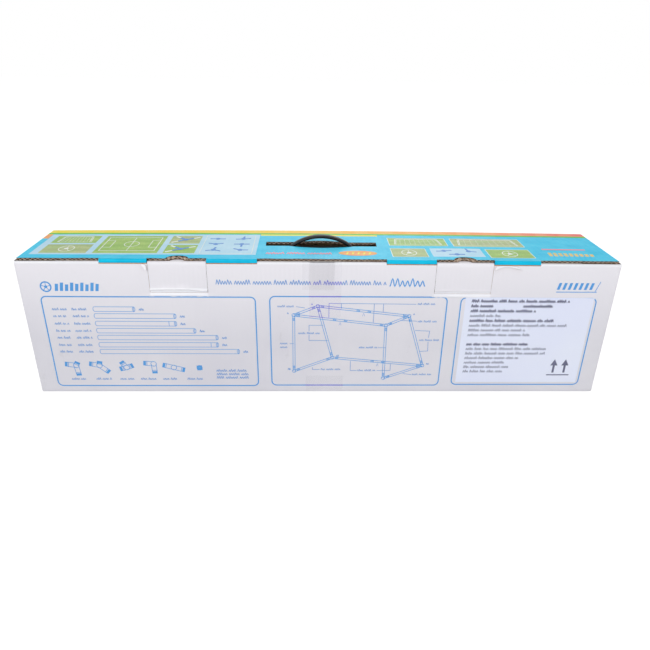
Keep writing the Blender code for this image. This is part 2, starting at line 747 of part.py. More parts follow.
def arm(name, direction, twist):
    """One solid arm of a joint, from its centre to the tip of its spigot, twisted about itself."""
    spigot = spigot_radius()
    end = JOINT_REACH
    item = turned(
        name,
        [
            (0, end),
            (spigot - SPIGOT_TIP, end),
            (spigot, end - SPIGOT_TIP),
            (spigot, JOINT_ARM),
            (TUBE_RADIUS, JOINT_ARM),
            (TUBE_RADIUS, 0),
            (0, 0),
        ],
        JOINT_STEPS,
        CUTTERS,
    )
    turn = Vector(direction).to_track_quat("Z", "Y") @ Quaternion((0, 0, 1), twist)
    item.rotation_euler = turn.to_euler()
    return item


def three_way_joint(name, angle, place, turn):
    """A corner joint: two arms at an angle in the flat, and a third that stands up."""
    ball_mesh = bpy.data.meshes.new(name)
    work = bmesh.new()
    bmesh.ops.create_uvsphere(
        work, u_segments=JOINT_STEPS, v_segments=JOINT_STEPS // 2, radius=JOINT_BALL_RADIUS
    )
    work.to_mesh(ball_mesh)
    work.free()
    joint = bpy.data.objects.new(name, ball_mesh)
    MODEL.objects.link(joint)
    flat = Matrix.Rotation(turn, 3, "Z")
    directions = (
        flat @ Vector((1, 0, 0)),
        flat @ Vector((math.cos(angle), math.sin(angle), 0)),
        Vector((0, 0, 1)),
    )
    for i, direction in enumerate(directions):
        piece = arm(f"{name}_arm", direction, i * ARM_TWIST)
        piece.location = place
        join(joint, piece)
    joint.location = place
    finish(joint, "blue_plastic", 40)


def swept_joint(name, path, radii):
    """A solid round joint that follows a path, with a radius at each of its points."""
    curve = bpy.data.curves.new(name, "CURVE")
    curve.dimensions = "3D"
    curve.bevel_depth = TUBE_RADIUS
    curve.bevel_resolution = 2
    curve.use_fill_caps = True
    spline = curve.splines.new("POLY")
    spline.points.add(len(path) - 1)
    for point, place, radius in zip(spline.points, path, radii):
        point.co = (*place, 1)
        point.radius = radius / TUBE_RADIUS
    item = bpy.data.objects.new(name, curve)
    MODEL.objects.link(item)
    return finish(as_mesh(item, MODEL), "blue_plastic", 40)


def end_run(start, direction, body, sign):
    """Points and radii of a spigot and the body behind it, from the spigot's tip inwards."""
    spigot = spigot_radius()
    step = GAP
    reach = [body + SPIGOT_LENGTH, body + SPIGOT_LENGTH - SPIGOT_TIP, body + step, body]
    radii = [spigot - SPIGOT_TIP, spigot, spigot, TUBE_RADIUS]
    points = [Vector(start) + Vector(direction) * distance for distance in reach]
    return (points, radii) if sign > 0 else (points[::-1], radii[::-1])


def make_elbow(name, corner, turn):
    """A smooth quarter bend that lies flat, with a spigot at each end."""
    bend = ELBOW_BEND_RADIUS
    first, first_radii = end_run((0, bend, 0), (0, 1, 0), ELBOW_ARM, 1)
    quarter = arc((bend, bend), bend, 180, 270, ELBOW_STEPS)
    last, last_radii = end_run((bend, 0, 0), (1, 0, 0), ELBOW_ARM, -1)
    flat = Matrix.Rotation(turn, 4, "Z")
    path = [*first, *(Vector((x, y, 0)) for x, y in quarter), *last]
    placed = [Vector(corner) + flat @ point for point in path]
    swept_joint(name, placed, [*first_radii, *([TUBE_RADIUS] * len(quarter)), *last_radii])


def make_straight(name, centre):
    """A straight joint along X, with a spigot at each end."""
    half = STRAIGHT_BODY / 2
    left, left_radii = end_run(centre, (-1, 0, 0), half, 1)
    right, right_radii = end_run(centre, (1, 0, 0), half, -1)
    swept_joint(name, [*left, *right], [*left_radii, *right_radii])


def make_joint_pair(place, angle, centre_x, layer):
    """Two equal corner joints, head to tail on a layer's outer rows, with slanted arms leaning apart."""
    height = layer_height(layer) + TUBE_RADIUS + GAP + JOINT_BALL_RADIUS
    turn = 0 if angle >= math.pi / 2 else math.pi - angle
    for side, word, row, facing in ((-1, "left", 0, 0), (1, "right", TUBES_PER_LAYER - 1, math.pi)):
        spot = (centre_x + side * PAIR_SHIFT / 2, row_place(layer, row), height)
        three_way_joint(f"{place}_corner_{word}", angle, spot, turn + facing)


def make_joints():
    """The eleven plastic joints of the goal."""
    square = math.radians(90)
    make_joint_pair("front_top", square, FRONT_TOP_PAIR_X, 2)
    make_joint_pair("back_top", square + BACK_LEAN, BACK_TOP_PAIR_X, 2)
    make_joint_pair("back_ground", square - BACK_LEAN, BACK_GROUND_PAIR_X, 3)
    height = TUBE_STACK_TOP + GAP + TUBE_RADIUS
    inset = TUBE_RADIUS + ROW_FRONT_GAP
    make_elbow("front_ground_elbow_left", (LEFT_ELBOW_X, INNER_FRONT + inset, height), 0)
    make_elbow("front_ground_elbow_right", (RIGHT_ELBOW_X, INNER_BACK - inset, height), math.pi)
    for name, row, place in (
        ("straight_joint_front", 2, 0),
        ("straight_joint_back", 2, 1),
        ("straight_joint_ground", 3, 1),
    ):
        centre_x = STRAIGHT_START + place * STRAIGHT_STEP
        make_straight(name, (centre_x, row_place(3, row), layer_height(3)))


def soft_pack(name, size, centre, finish_name):
    """A soft, full pack of an exact outer size: a cage with cut corners, rounded by subdivision."""
    mesh = bpy.data.meshes.new(name)
    work = bmesh.new()
    bmesh.ops.create_cube(work, size=1)
    bmesh.ops.scale(work, vec=size, verts=work.verts)
    work.to_mesh(mesh)
    work.free()
    cage = bpy.data.objects.new(name, mesh)
    MODEL.objects.link(cage)
    corner = cage.modifiers.new("cut_corners", "BEVEL")
    corner.width = min(size) / 4
    corner.segments = 1
    soften = cage.modifiers.new("soften", "SUBSURF")
    soften.levels = 2
    soften.render_levels = 2
    bpy.context.view_layer.update()
    graph = bpy.context.evaluated_depsgraph_get()
    rounded = bpy.data.meshes.new_from_object(cage.evaluated_get(graph))
    bpy.data.objects.remove(cage)
    pack = bpy.data.objects.new(name, rounded)
    MODEL.objects.link(pack)
    bpy.context.view_layer.update()
    shares = [wanted / found for wanted, found in zip(size, pack.dimensions)]
    rounded.transform(Matrix.Diagonal(shares).to_4x4())
    pack.location = centre
    return finish(pack, finish_name, 180)


def make_soft_goods():
    """The folded net on the short tubes, and the bag of rubber sleeves on the posts' ends."""
    net_place = (NET_START + NET_LENGTH / 2, 0, TUBE_STACK_TOP + GAP + NET_HEIGHT / 2)
    soft_pack("folded_net", (NET_LENGTH, NET_DEPTH, NET_HEIGHT), net_place, "net_cord")
    bag_place = (
        SLEEVE_BAG_START + SLEEVE_BAG_SIZE[0] / 2,
        INNER_FRONT + GAP + SLEEVE_BAG_SIZE[1] / 2,
        layer_height(0) + TUBE_RADIUS + GAP + SLEEVE_BAG_SIZE[2] / 2,
    )
    soft_pack("sleeve_bag", SLEEVE_BAG_SIZE, bag_place, "clear_bag")


def main():
    clear_scene()
    make_walls()
    make_ends()
    hinge = make_lid()
    make_front_flaps()
    make_handle(hinge)
    make_label()
    make_tape(hinge)
    make_tubes()
    make_joints()
    make_soft_goods()


main()
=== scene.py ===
import math
import random

import bmesh
import bpy
from mathutils import Matrix, Vector, noise


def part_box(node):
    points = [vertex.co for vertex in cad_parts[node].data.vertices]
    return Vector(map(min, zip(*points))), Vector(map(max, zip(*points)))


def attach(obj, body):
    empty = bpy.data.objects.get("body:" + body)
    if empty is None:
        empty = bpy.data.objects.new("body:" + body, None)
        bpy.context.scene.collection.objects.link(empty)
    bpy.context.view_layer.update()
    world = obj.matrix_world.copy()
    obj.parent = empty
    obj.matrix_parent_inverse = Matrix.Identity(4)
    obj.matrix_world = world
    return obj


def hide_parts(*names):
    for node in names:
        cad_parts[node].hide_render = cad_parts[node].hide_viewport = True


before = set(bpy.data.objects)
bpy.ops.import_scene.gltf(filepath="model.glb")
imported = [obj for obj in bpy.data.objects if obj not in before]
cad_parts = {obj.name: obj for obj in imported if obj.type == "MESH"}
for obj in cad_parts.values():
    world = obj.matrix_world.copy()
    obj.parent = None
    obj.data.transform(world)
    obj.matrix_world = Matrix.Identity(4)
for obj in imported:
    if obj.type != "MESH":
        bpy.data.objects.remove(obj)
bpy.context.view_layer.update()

# Places read from the frame, in metres
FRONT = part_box("front_wall")[0].y
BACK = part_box("back_wall")[1].y
DEPTH = BACK - FRONT
HALF_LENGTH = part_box("front_wall")[1].x
WALL_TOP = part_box("front_wall")[1].z
TAB_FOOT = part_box("right_press_tab")[0].z
LID_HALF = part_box("lid_panel")[1].x
LID_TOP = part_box("lid_panel")[1].z

# Board
BOARD = 0.004
LID_BOTTOM = LID_TOP - BOARD
LINER = 0.0004
MEDIUM = 0.0003
FLUTE_PITCH = 0.0075
FLUTE_STEPS = 8
FOLD_RADIUS = 0.003
FOLD_STATIONS = (0, 0.0002, 0.0007, 0.0015, 0.003)
RAW_EDGE = 0.005
GRID_STEP = 0.008
WALL_GRID_STEP = 0.010
CUT_PAST = 0.001

# Lock on the front edge, taken from the tongues' and tabs' own boxes
TONGUES = [f"lock_tongue_{place}" for place in ("far_left", "near_left", "near_right", "far_right")]
TONGUE_SPANS = [(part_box(node)[0].x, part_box(node)[1].x) for node in TONGUES]
TAB_SPANS = [(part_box(node)[0].x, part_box(node)[1].x) for node in ("left_press_tab", "right_press_tab")]
LID_EDGES = [-LID_HALF, *(edge for span in TONGUE_SPANS for edge in span), LID_HALF]
RAW_SPANS = list(zip(LID_EDGES[::2], LID_EDGES[1::2]))
TAB_MIDDLES = [(low + high) / 2 for low, high in TAB_SPANS]
TONGUE_GAP = 0.0005
SLITS = [(low - TONGUE_GAP, high + TONGUE_GAP) for low, high in TONGUE_SPANS]
NOTCH_DEPTH = 0.0018
TORN_STRIP = 0.0013
TAB_CUT = 0.0003
TAB_COLUMNS = 24
CREASE_ROWS = [0.0012 * i for i in range(1, 8)]
PAINTED_HIGHLIGHT_BAND = 0.0030
# Height of the band of painted highlight along the front wall's rounded top
RIM = 0.0005
FLAKE_CURL = 0.0040
THUMB_WIDTH = 0.030
THUMB_DEPTH = 0.010

# Handle and its slot, which lies in the middle of the lid; v is measured from the carton's front
SLOT_HALF = 0.092
SLOT_FRONT = DEPTH / 2 - 0.010
SLOT_BACK = DEPTH / 2 + 0.010
SLOT_BULGE_HALF = 0.054
SLOT_BULGE = 0.012
HANDLE_WIDTH = 0.010
HANDLE_Y = FRONT + SLOT_FRONT + 0.0015 + HANDLE_WIDTH / 2
ARCH_HALF = 0.050
ARCH_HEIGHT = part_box("carry_handle")[1].z - LID_TOP
ARCH_THICKNESS = 0.0050
STRAP_THICKNESS = 0.0030

# Bow of the long boards, at the middle of the front edge and of the back edge
FRONT_BOW = 0.0012
BACK_BOW = 0.0028

# How far the full boards stand out, how uneven they are, and how far the handle pulls the lid up
BULGE = 0.0006
UNEVEN = 0.0005
HANDLE_PULL = 0.0024

# Printed pictures on the lid: left, right, front and back edge, and what their ground is
PICTURES = {
    "far_goal": ((-0.448, -0.374, 0.0790, 0.1180), "grass"),
    "left_ball": ((-0.448, -0.374, 0.0290, 0.0720), "meadow"),
    "pitch": ((-0.364, -0.262, 0.0290, 0.1180), "grass"),
    "back_joint": ((-0.253, -0.203, 0.0770, 0.1180), "meadow"),
    "front_joint": ((-0.253, -0.203, 0.0290, 0.0700), "grass"),
    "near_goal": ((0.114, 0.212, 0.0730, 0.1125), "grass"),
    "wide_goal": ((0.222, 0.341, 0.0710, 0.1125), "meadow"),
    "middle_ball": ((0.113, 0.170, 0.0180, 0.0580), "meadow"),
    "parts": ((0.178, 0.262, 0.0200, 0.0600), "pale"),
    "right_ball": ((0.270, 0.341, 0.0160, 0.0570), "grass"),
}

# Printed areas of the lid with their material numbers, later ones on top
GROUNDS = {"grass": 4, "meadow": 5, "pale": 3}
LID_PRINTS = [
    (-0.471, 0.471, 0.1360, 0.160, 6),
    (-0.471, 0.471, 0.1285, 0.1360, 7),
    (-0.104, 0.098, 0.1215, 0.1285, 8),
    (-0.471, -0.4610, 0.1040, 0.1285, 9),
    (-0.4600, -0.1050, 0.0225, 0.1265, 3),
    *((*area, GROUNDS[ground]) for area, ground in PICTURES.values()),
]

# The drawing of the goal on the front wall, in millimetres along it and up
MILLIMETRE = 0.001
LONG_PIPE = 0.12
GOAL_CORNERS = {
    "front_top_left": (-45, 146),
    "back_top_left": (-6, 162),
    "back_top_right": (143, 145),
    "front_top_right": (106, 128),
    "front_foot_left": (-45, 42),
    "back_foot_left": (19, 68),
    "back_foot_right": (172, 53),
    "front_foot_right": (107, 28),
}
GOAL_PIPES = [(f"{row}_left", f"{row}_right") for row in ("front_top", "back_top", "back_foot")]
for side in ("left", "right"):
    for ends in (("front_top", "front_foot"), ("front_top", "back_top"), ("front_foot", "back_foot"),
                 ("back_top", "back_foot")):
        GOAL_PIPES.append([f"{end}_{side}" for end in ends])
GOAL_LABELS = [
    (-71, -41, 160), (-38, -1, 112), (-68, -52, 93), (-68, -55, 86), (155, 187, 165), (158, 191, 134),
    (163, 198, 100), (63, 94, 86), (62, 93, 42), (0, 35, 44), (156, 190, 34),
]
GOAL_LEADERS = [
    [(-41, 161), (-27, 159)], [(3, 128), (-20, 128), (-20, 117)], [(-20, 111), (-20, 100), (11, 100)],
    [(-52, 94), (-45, 94)], [(12, 141), (12, 167), (153, 166)], [(32, 167), (32, 158)],
    [(85, 167), (85, 133)], [(100, 167), (100, 152)], [(131, 137), (157, 136)],
    [(155, 119), (179, 118), (178, 106)], [(178, 98), (179, 81), (165, 80)], [(95, 87), (108, 87)],
    [(50, 62), (50, 43), (61, 43)], [(95, 43), (118, 43), (118, 57)], [(-14, 49), (-14, 45), (-2, 45)],
    [(140, 37), (155, 35)],
]

# Print
INK_LIFT = 0.00006
INK_THICKNESS = 0.00008
INK_STEP = 0.012
FRAME_LINE = 0.0020
PIPE_LINE = 0.0009
THIN_LINE = 0.0008
PRINT_SHINE = 0.12

# Clear tape: each strip's left, right, bottom and top edge
TAPE_WIDTH = 0.051
SECOND_STRIP_LENGTH = 0.042
TOP_TAPE_LOW, TOP_TAPE_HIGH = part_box("tape_front")
BOTTOM_TAPE_LOW, BOTTOM_TAPE_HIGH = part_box("tape_bottom")
TAPE_TOP = WALL_TOP + 0.0002
TOP_STRIP = (TOP_TAPE_HIGH.x - TAPE_WIDTH, TOP_TAPE_HIGH.x, TOP_TAPE_LOW.z, TAPE_TOP)
SECOND_STRIP = (
    TOP_TAPE_LOW.x, TOP_TAPE_LOW.x + TAPE_WIDTH, TOP_TAPE_HIGH.z - SECOND_STRIP_LENGTH, TAPE_TOP,
)
BOTTOM_STRIP = (BOTTOM_TAPE_LOW.x, BOTTOM_TAPE_HIGH.x, 0.0006, BOTTOM_TAPE_HIGH.z)

# Label
LABEL_MARGIN = 0.0105
LABEL_FIRST_LINE = 0.0085
LABEL_LINE_PITCH = 0.00868
LABEL_LIFT = 0.0011

NET_CORD = 0.0022
NET_TIE = 0.0016
SLEEVE_OUTSIDE = 0.0080
SLEEVE_INSIDE = 0.0060
SLEEVE_HALF = 0.0075
SLEEVE_PITCH = 0.0180
SLEEVE_LAYER = 0.0195
BAG_FILM = 0.00015

# The photograph's camera, as fitted to the carton's corners
CAMERA_PLACE = (-0.0211, -0.9443, 0.5444)
CAMERA_TURNS = ((-1.793, "Z"), (90 - 25.628, "X"), (0.95, "Z"))
FOCAL_PIXELS = 588.2
PHOTO_PIXELS = 650
SENSOR = 36

# The body that a piece rides on, and its material slot
CARTON = ("carton", "white_board")
CARTON_INSIDE = ("carton", "kraft_board")
LID = ("lid", "lid_print")
HANDLE = ("handle", "black_plastic")
PAPER_LABEL = ("carton", "label_paper")
PACKING_TAPE = ("carton", "packing_tape")
NET = ("carton", "net_cord")
SLEEVE_BAG = ("carton", "clear_bag")

TINY = 0.000001


def srgb(red, green, blue):
    """A display colour as linear values with full alpha."""
    parts = []
    for value in (red, green, blue):
        parts.append(value / 12.92 if value <= 0.04045 else ((value + 0.055) / 1.055) ** 2.4)
    return (*parts, 1.0)


# Materials


class Nodes:
    """A node tree, with a short way to add to it."""

    def __init__(self, owner):
        owner.use_nodes = True
        self.tree = owner.node_tree

    def feed(self, socket, given):
        """Links an output to a socket, or sets the socket's value."""
        if isinstance(given, bpy.types.NodeSocket):
            self.tree.links.new(given, socket)
        else:
            socket.default_value = given

    def node(self, kind, output, given, **settings):
        """Adds a node, feeds its inputs and gives one of its outputs."""
        made = self.tree.nodes.new(f"ShaderNode{kind}")
        for key, value in settings.items():
            setattr(made, key, value)
        for key, value in given.items():
            self.feed(made.inputs[key], value)
        return made.outputs[output]


class Paint(Nodes):
    """One surface's material; a colour is three display values or an output."""

    def __init__(self, name, roughness):
        self.material = bpy.data.materials.new(name)
        super().__init__(self.material)
        self.shader = self.tree.nodes["Principled BSDF"]
        self.place = self.node("TexCoord", "Object", {})
        self.normal = None
        self.shade(Base_Color=(0.5, 0.5, 0.5, 1.0), Roughness=roughness)

    def shade(self, **given):
        """Feeds the shader's inputs, whose names have _ for a space."""
        for key, value in given.items():
            self.feed(self.shader.inputs[key.replace("_", " ")], value)

    def noise(self, scale, detail, stretch=(1, 1, 1), rough=0.5):
        """Noise from 0 to 1 over the object, scale in cells per metre."""
        place = self.node("Mapping", "Vector", {"Vector": self.place, "Scale": stretch})
        given = {"Vector": place, "Scale": scale, "Detail": detail, "Roughness": rough}
        return self.node("TexNoise", "Fac", given)

    def waves(self, axis, pitch, distortion):
        """A sine from 0 to 1 along an axis, with that pitch in metres."""
        given = {"Vector": self.place, "Scale": math.pi / (10 * pitch)}
        given |= {"Distortion": distortion, "Detail": 1.0}
        return self.node("TexWave", "Fac", given, wave_type="BANDS", bands_direction=axis)

    def along(self, axis):
        """One coordinate of the object's place."""
        return self.node("SeparateXYZ", axis, {"Vector": self.place})

    def span(self, value, low, high, to_low=0.0, to_high=1.0):
        """The value's place between low and high, held inside them."""
        given = {"Value": value, "From Min": low, "From Max": high, "To Min": to_low, "To Max": to_high}
        return self.node("MapRange", "Result", given)

    def within(self, axis, low, high):
        """1 between two places along an axis and 0 outside them."""
        place = self.along(axis)
        return self.times(self.span(place, low - 0.001, low), self.span(place, high, high + 0.001, 1.0, 0.0))

    def times(self, first, second):
        return self.node("Math", 0, {0: first, 1: second}, operation="MULTIPLY")

    def mix(self, share, *colours):
        """Two colours mixed by a share."""
        first, second = (srgb(*one) if isinstance(one, tuple) else one for one in colours)
        return self.node("Mix", 2, {0: share, 6: first, 7: second}, data_type="RGBA")

    def tone(self, value, low, high, first, second, share=1.0):
        """The first colour, with up to that share of the second as the value rises."""
        return self.mix(self.span(value, low, high, 0.0, share), first, second)

    def colour(self, source):
        self.shade(Base_Color=source)

    def roughness(self, source, low, high):
        self.shade(Roughness=self.span(source, 0.25, 0.75, low, high))

    def bump(self, height, depth, strength=1.0):
        """Adds relief; depth is its height in metres."""
        given = {"Height": height, "Distance": depth, "Strength": strength}
        if self.normal is not None:
            given["Normal"] = self.normal
        self.normal = self.node("Bump", "Normal", given)
        self.shade(Normal=self.normal)

    def varnish(self, source, low, high):
        """A print's dull varnish, with the flutes showing through."""
        self.roughness(source, low, high)
        self.bump(self.waves("X", FLUTE_PITCH, 0.5), 0.00007)
        self.shade(Specular_IOR_Level=PRINT_SHINE)


def paper(name, light, dark, axis="X", washboard=0.00006, top=None):
    """Coated liner paper over flutes that lie across an axis; top, if given, is a paler tone painted towards
    the walls' top, a painted highlight where more light falls on the upper wall.
    """
    made = Paint(name, 0.5)
    fibre = made.noise(900.0, 2.0)
    scuff = made.noise(20.0, 8.0, (1, 1, 0.5), 0.68)
    base = made.tone(made.noise(7.0, 4.0), 0.3, 0.7, dark, light)
    # Painted highlight: the liner turns paler from 10 cm up to the wall's top.
    if top is not None:
        base = made.tone(made.along("Z"), 0.10, WALL_TOP, base, top)
    base = made.tone(scuff, 0.64, 0.74, base, (0.74, 0.73, 0.74), 0.35)
    made.colour(made.tone(fibre, 0.35, 0.8, base, dark, 0.10))
    made.roughness(fibre, 0.5, 0.65)
    made.bump(made.waves(axis, FLUTE_PITCH, 0.6), washboard)
    made.bump(made.noise(60.0, 3.0), 0.00025, 0.25)
    made.bump(fibre, 0.00004, 0.5)
    return made.material


def kraft(name, light, dark, axis="X"):
    """Brown board with fibres, flecks and the flutes showing through."""
    made = Paint(name, 0.85)
    fibre = made.noise(420.0, 5.0, (1, 1, 0.35), 0.65)
    base = made.tone(fibre, 0.3, 0.7, dark, light)
    made.colour(made.tone(made.noise(1500.0, 1.0), 0.62, 0.8, base, dark, 0.5))
    made.roughness(fibre, 0.78, 0.95)
    made.bump(made.waves(axis, FLUTE_PITCH, 0.8), 0.0001)
    made.bump(fibre, 0.0001, 0.6)
    return made.material


def ink(name, colour, faded, taped=None):
    """Printed line ink, with the paper showing through where it is thin; taped is its tone under tape."""
    made = Paint(name, 0.5)
    grain = made.noise(1300.0, 2.0)
    base = made.tone(made.noise(30.0, 2.0), 0.3, 0.7, colour, faded, 0.35)
    for left, right, bottom, top in (TOP_STRIP, BOTTOM_STRIP) if taped is not None else ():
        area = made.times(made.within("X", left, right), made.within("Z", bottom, top))
        base = made.mix(area, base, taped)
    made.colour(made.tone(grain, 0.55, 0.8, base, faded, 0.4))
    made.roughness(grain, 0.45, 0.6)
    made.bump(grain, 0.00003, 0.4)
    return made.material


def printed(name, first, second):
    """A flat printed area of the lid: two near tones, screen dots and a varnish."""
    made = Paint(name, 0.34)
    base = made.tone(made.noise(40.0, 3.0), 0.3, 0.7, first, second)
    made.colour(made.tone(made.noise(1600.0, 1.0), 0.5, 0.9, base, second, 0.25))
    made.varnish(made.noise(120.0, 3.0), 0.34, 0.48)
    made.bump(made.noise(70.0, 3.0), 0.00025, 0.25)
    return made.material


def grass(name, light, middle, dark):
    """A printed picture of mown grass."""
    made = Paint(name, 0.4)
    blades = made.noise(520.0, 4.0, (1, 0.35, 1), 0.7)
    patches = made.noise(38.0, 4.0)
    base = made.tone(patches, 0.35, 0.65, middle, light)
    base = made.mix(made.times(made.waves("Y", 0.022, 1.5), 0.35), base, dark)
    made.colour(made.tone(blades, 0.45, 0.75, base, dark, 0.6))
    made.varnish(patches, 0.34, 0.46)
    return made.material


def sunset_band(name):
    """The print along the lid's back edge, which runs from yellow through orange to salmon."""
    made = Paint(name, 0.4)
    place = made.span(made.along("X"), -LID_HALF, LID_HALF)
    base = (0.95, 0.88, 0.26)
    for start, end, colour in (
        (0.0, 0.34, (0.96, 0.84, 0.26)),
        (0.34, 0.55, (0.97, 0.74, 0.28)),
        (0.55, 0.72, (0.97, 0.66, 0.34)),
        (0.72, 0.88, (0.96, 0.57, 0.45)),
        (0.88, 1.0, (0.93, 0.45, 0.42)),
    ):
        base = made.tone(place, start, end, base, colour)
    made.colour(made.tone(made.waves("X", 0.046, 2.0), 0.3, 0.7, base, (0.98, 0.90, 0.62), 0.12))
    made.varnish(made.noise(120.0, 3.0), 0.34, 0.48)
    return made.material


def moulded(name, colour, worn, rough=(0.35, 0.5), grain=900.0, depth=0.00004, shine=0.5):
    """Moulded plastic with a fine grain and paler worn spots."""
    made = Paint(name, rough[0])
    cloudy = made.noise(55.0, 4.0)
    made.colour(made.tone(cloudy, 0.55, 0.85, colour, worn, 0.5))
    made.roughness(cloudy, *rough)
    made.bump(made.noise(grain, 2.0), depth, 0.6)
    made.bump(made.noise(140.0, 2.0), 0.00012, 0.25)
    made.shade(Specular_IOR_Level=shine)
    return made.material


def powder_coat(name):
    """White baked powder paint, with orange peel and faint scuffs."""
    made = Paint(name, 0.3)
    scuff = made.noise(45.0, 5.0, (0.25, 1, 1), 0.7)
    made.colour(made.tone(scuff, 0.6, 0.8, (0.93, 0.93, 0.94), (0.78, 0.78, 0.78), 0.5))
    made.roughness(scuff, 0.26, 0.42)
    made.bump(made.noise(1100.0, 1.0), 0.00005, 0.5)
    made.shade(Coat_Weight=0.3, Coat_Roughness=0.15)
    return made.material


def clear_film(name, tint, alpha, rough, gloss):
    """Thin clear plastic, such as tape or a bag, with faint streaks whose paler tone is painted sheen."""
    made = Paint(name, rough)
    streak = made.noise(160.0, 3.0, (1, 1, 0.12))
    # Painted sheen: the tint turns paler along the streaks.
    made.colour(made.tone(streak, 0.3, 0.7, tint, (0.88, 0.88, 0.90), 0.7))
    made.roughness(streak, rough, rough + 0.12)
    made.bump(streak, 0.00008, 0.3)
    made.shade(Alpha=alpha, Coat_Weight=gloss, Coat_Roughness=0.12)
    return made.material


def twine(name):
    """White twisted net cord."""
    made = Paint(name, 0.8)
    strands = made.noise(1800.0, 3.0, (1, 1, 1), 0.6)
    made.colour(made.tone(strands, 0.3, 0.7, (0.74, 0.75, 0.76), (0.94, 0.94, 0.95)))
    made.roughness(strands, 0.7, 0.9)
    made.bump(strands, 0.0003, 0.8)
    return made.material


# The white liner's paler top tone is a painted highlight, growing with height towards the walls' top.
WHITE = paper("white_liner", (0.89, 0.885, 0.91), (0.855, 0.85, 0.885), top=(0.94, 0.932, 0.957))
WHITE_Y = paper("white_liner_ends", (0.885, 0.88, 0.905), (0.85, 0.845, 0.88), "Y")
# A paler copy of the white liner: a painted highlight on the front wall's rounded top, on the press tabs'
# foot creases and on the torn flakes.
PAINTED_HIGHLIGHT_LINER = paper("painted_highlight_liner", (0.97, 0.97, 0.985), (0.92, 0.92, 0.95), washboard=0.00001)
KRAFT = kraft("kraft_liner", (0.78, 0.65, 0.50), (0.64, 0.51, 0.37))
KRAFT_Y = kraft("kraft_liner_ends", (0.78, 0.65, 0.50), (0.64, 0.51, 0.37), "Y")
# Cut edges and the fluted middle: the board's own brown, painted much darker with the shade of the flute
# hollows.
RAW_SHADED = kraft("raw_edge_painted_shade", (0.52, 0.42, 0.34), (0.26, 0.20, 0.16))
FRAYED = kraft("frayed_edge", (0.86, 0.78, 0.70), (0.54, 0.44, 0.36))
TORN = kraft("torn_edge", (0.80, 0.62, 0.45), (0.62, 0.44, 0.30))
CYAN = printed("cyan_print", (0.16, 0.77, 0.92), (0.26, 0.82, 0.95))
# A darker, deeper copy of the lid's cyan print for the tongues' folds, shoulders and boards: painted shade
# where the print turns to face the front.
SHADED_FOLD_CYAN = printed("cyan_fold_print_painted_shade", (0.03, 0.73, 0.89), (0.07, 0.78, 0.93))
PALE_BLUE = printed("pale_blue_print", (0.70, 0.86, 0.94), (0.76, 0.89, 0.96))
GRASS = grass("grass_print", (0.70, 0.82, 0.47), (0.61, 0.77, 0.39), (0.48, 0.65, 0.31))
MEADOW = grass("meadow_print", (0.76, 0.79, 0.58), (0.67, 0.77, 0.51), (0.57, 0.63, 0.44))
SUNSET = sunset_band("sunset_print")
GREEN_LINE = printed("green_print", (0.36, 0.74, 0.24), (0.42, 0.78, 0.30))
YELLOW_LINE = printed("yellow_print", (0.92, 0.89, 0.28), (0.95, 0.92, 0.38))
ORANGE = printed("orange_print", (0.95, 0.62, 0.40), (0.96, 0.72, 0.42))
SALMON = ink("salmon_ink", (0.96, 0.50, 0.55), (0.88, 0.60, 0.68))
GOLD = ink("gold_ink", (0.90, 0.78, 0.45), (0.70, 0.72, 0.55))
LINE_WHITE = ink("white_ink", (0.93, 0.95, 0.93), (0.83, 0.88, 0.80))
ICON_BLUE = ink("icon_blue_ink", (0.26, 0.50, 0.80), (0.45, 0.65, 0.86))
VIOLET = (0.42, 0.46, 0.86)
BLUE_INK = ink("blue_ink", (0.30, 0.60, 0.87), (0.42, 0.67, 0.89), VIOLET)
SMALL_INK = ink("small_blue_ink", (0.36, 0.57, 0.83), (0.52, 0.69, 0.88), VIOLET)
DARK_INK = ink("dark_ink", (0.37, 0.38, 0.48), (0.54, 0.55, 0.66))
LABEL = paper("label_paper", (0.92, 0.94, 1.0), (0.895, 0.915, 1.0), washboard=0.00002)
TAPE = clear_film("clear_tape", (0.78, 0.78, 0.83), 0.022, 0.16, 0.2)
BLACK = moulded("black_handle", (0.05, 0.053, 0.06), (0.12, 0.125, 0.14), (0.38, 0.52), shine=0.3)
# A darker, matte copy of the handle's black for the strap under the slot: the strap's own black, darkened
# with painted shade of the slot.
SLOT_SHADE_STRAP = moulded("black_strap_slot_shade", (0.03, 0.03, 0.034), (0.07, 0.07, 0.075), (0.75, 0.9), shine=0.04)
JOINT_BLUE = moulded("joint_blue", (0.15, 0.42, 0.82), (0.28, 0.52, 0.86))
POWDER = powder_coat("white_powder_coat")
TWINE = twine("net_twine")
NET_DARK = twine("net_shade")
RUBBER = moulded("black_rubber", (0.12, 0.12, 0.13), (0.22, 0.22, 0.23), (0.6, 0.75), 700.0, 0.00008)
BAG = clear_film("clear_bag_film", (0.85, 0.86, 0.88), 0.22, 0.1, 0.5)
BOARD_WHITE = [WHITE, KRAFT, RAW_SHADED]


# Surfaces: each turns (u, v, w) into a place, with w out of the carton


def smooth(share):
    """A share held between 0 and 1, with soft ends."""
    share = max(0.0, min(1.0, share))
    return share * share * (3 - 2 * share)


def window(value, low, high, soft):
    """1 well inside a span and 0 at its ends."""
    return smooth(min(value - low, high - value) / soft)


def uneven(x, y, z):
    """Soft noise from -1 to 1."""
    return noise.noise(Vector((x, y, z)))


def front_bulge(u, z):
    """How far the full front wall stands out of its plane."""
    hold = window(u, -HALF_LENGTH, HALF_LENGTH, 0.08) * window(z, 0, WALL_TOP, 0.06)
    return hold * (BULGE + UNEVEN * uneven(u * 9, z * 14, 3.7))


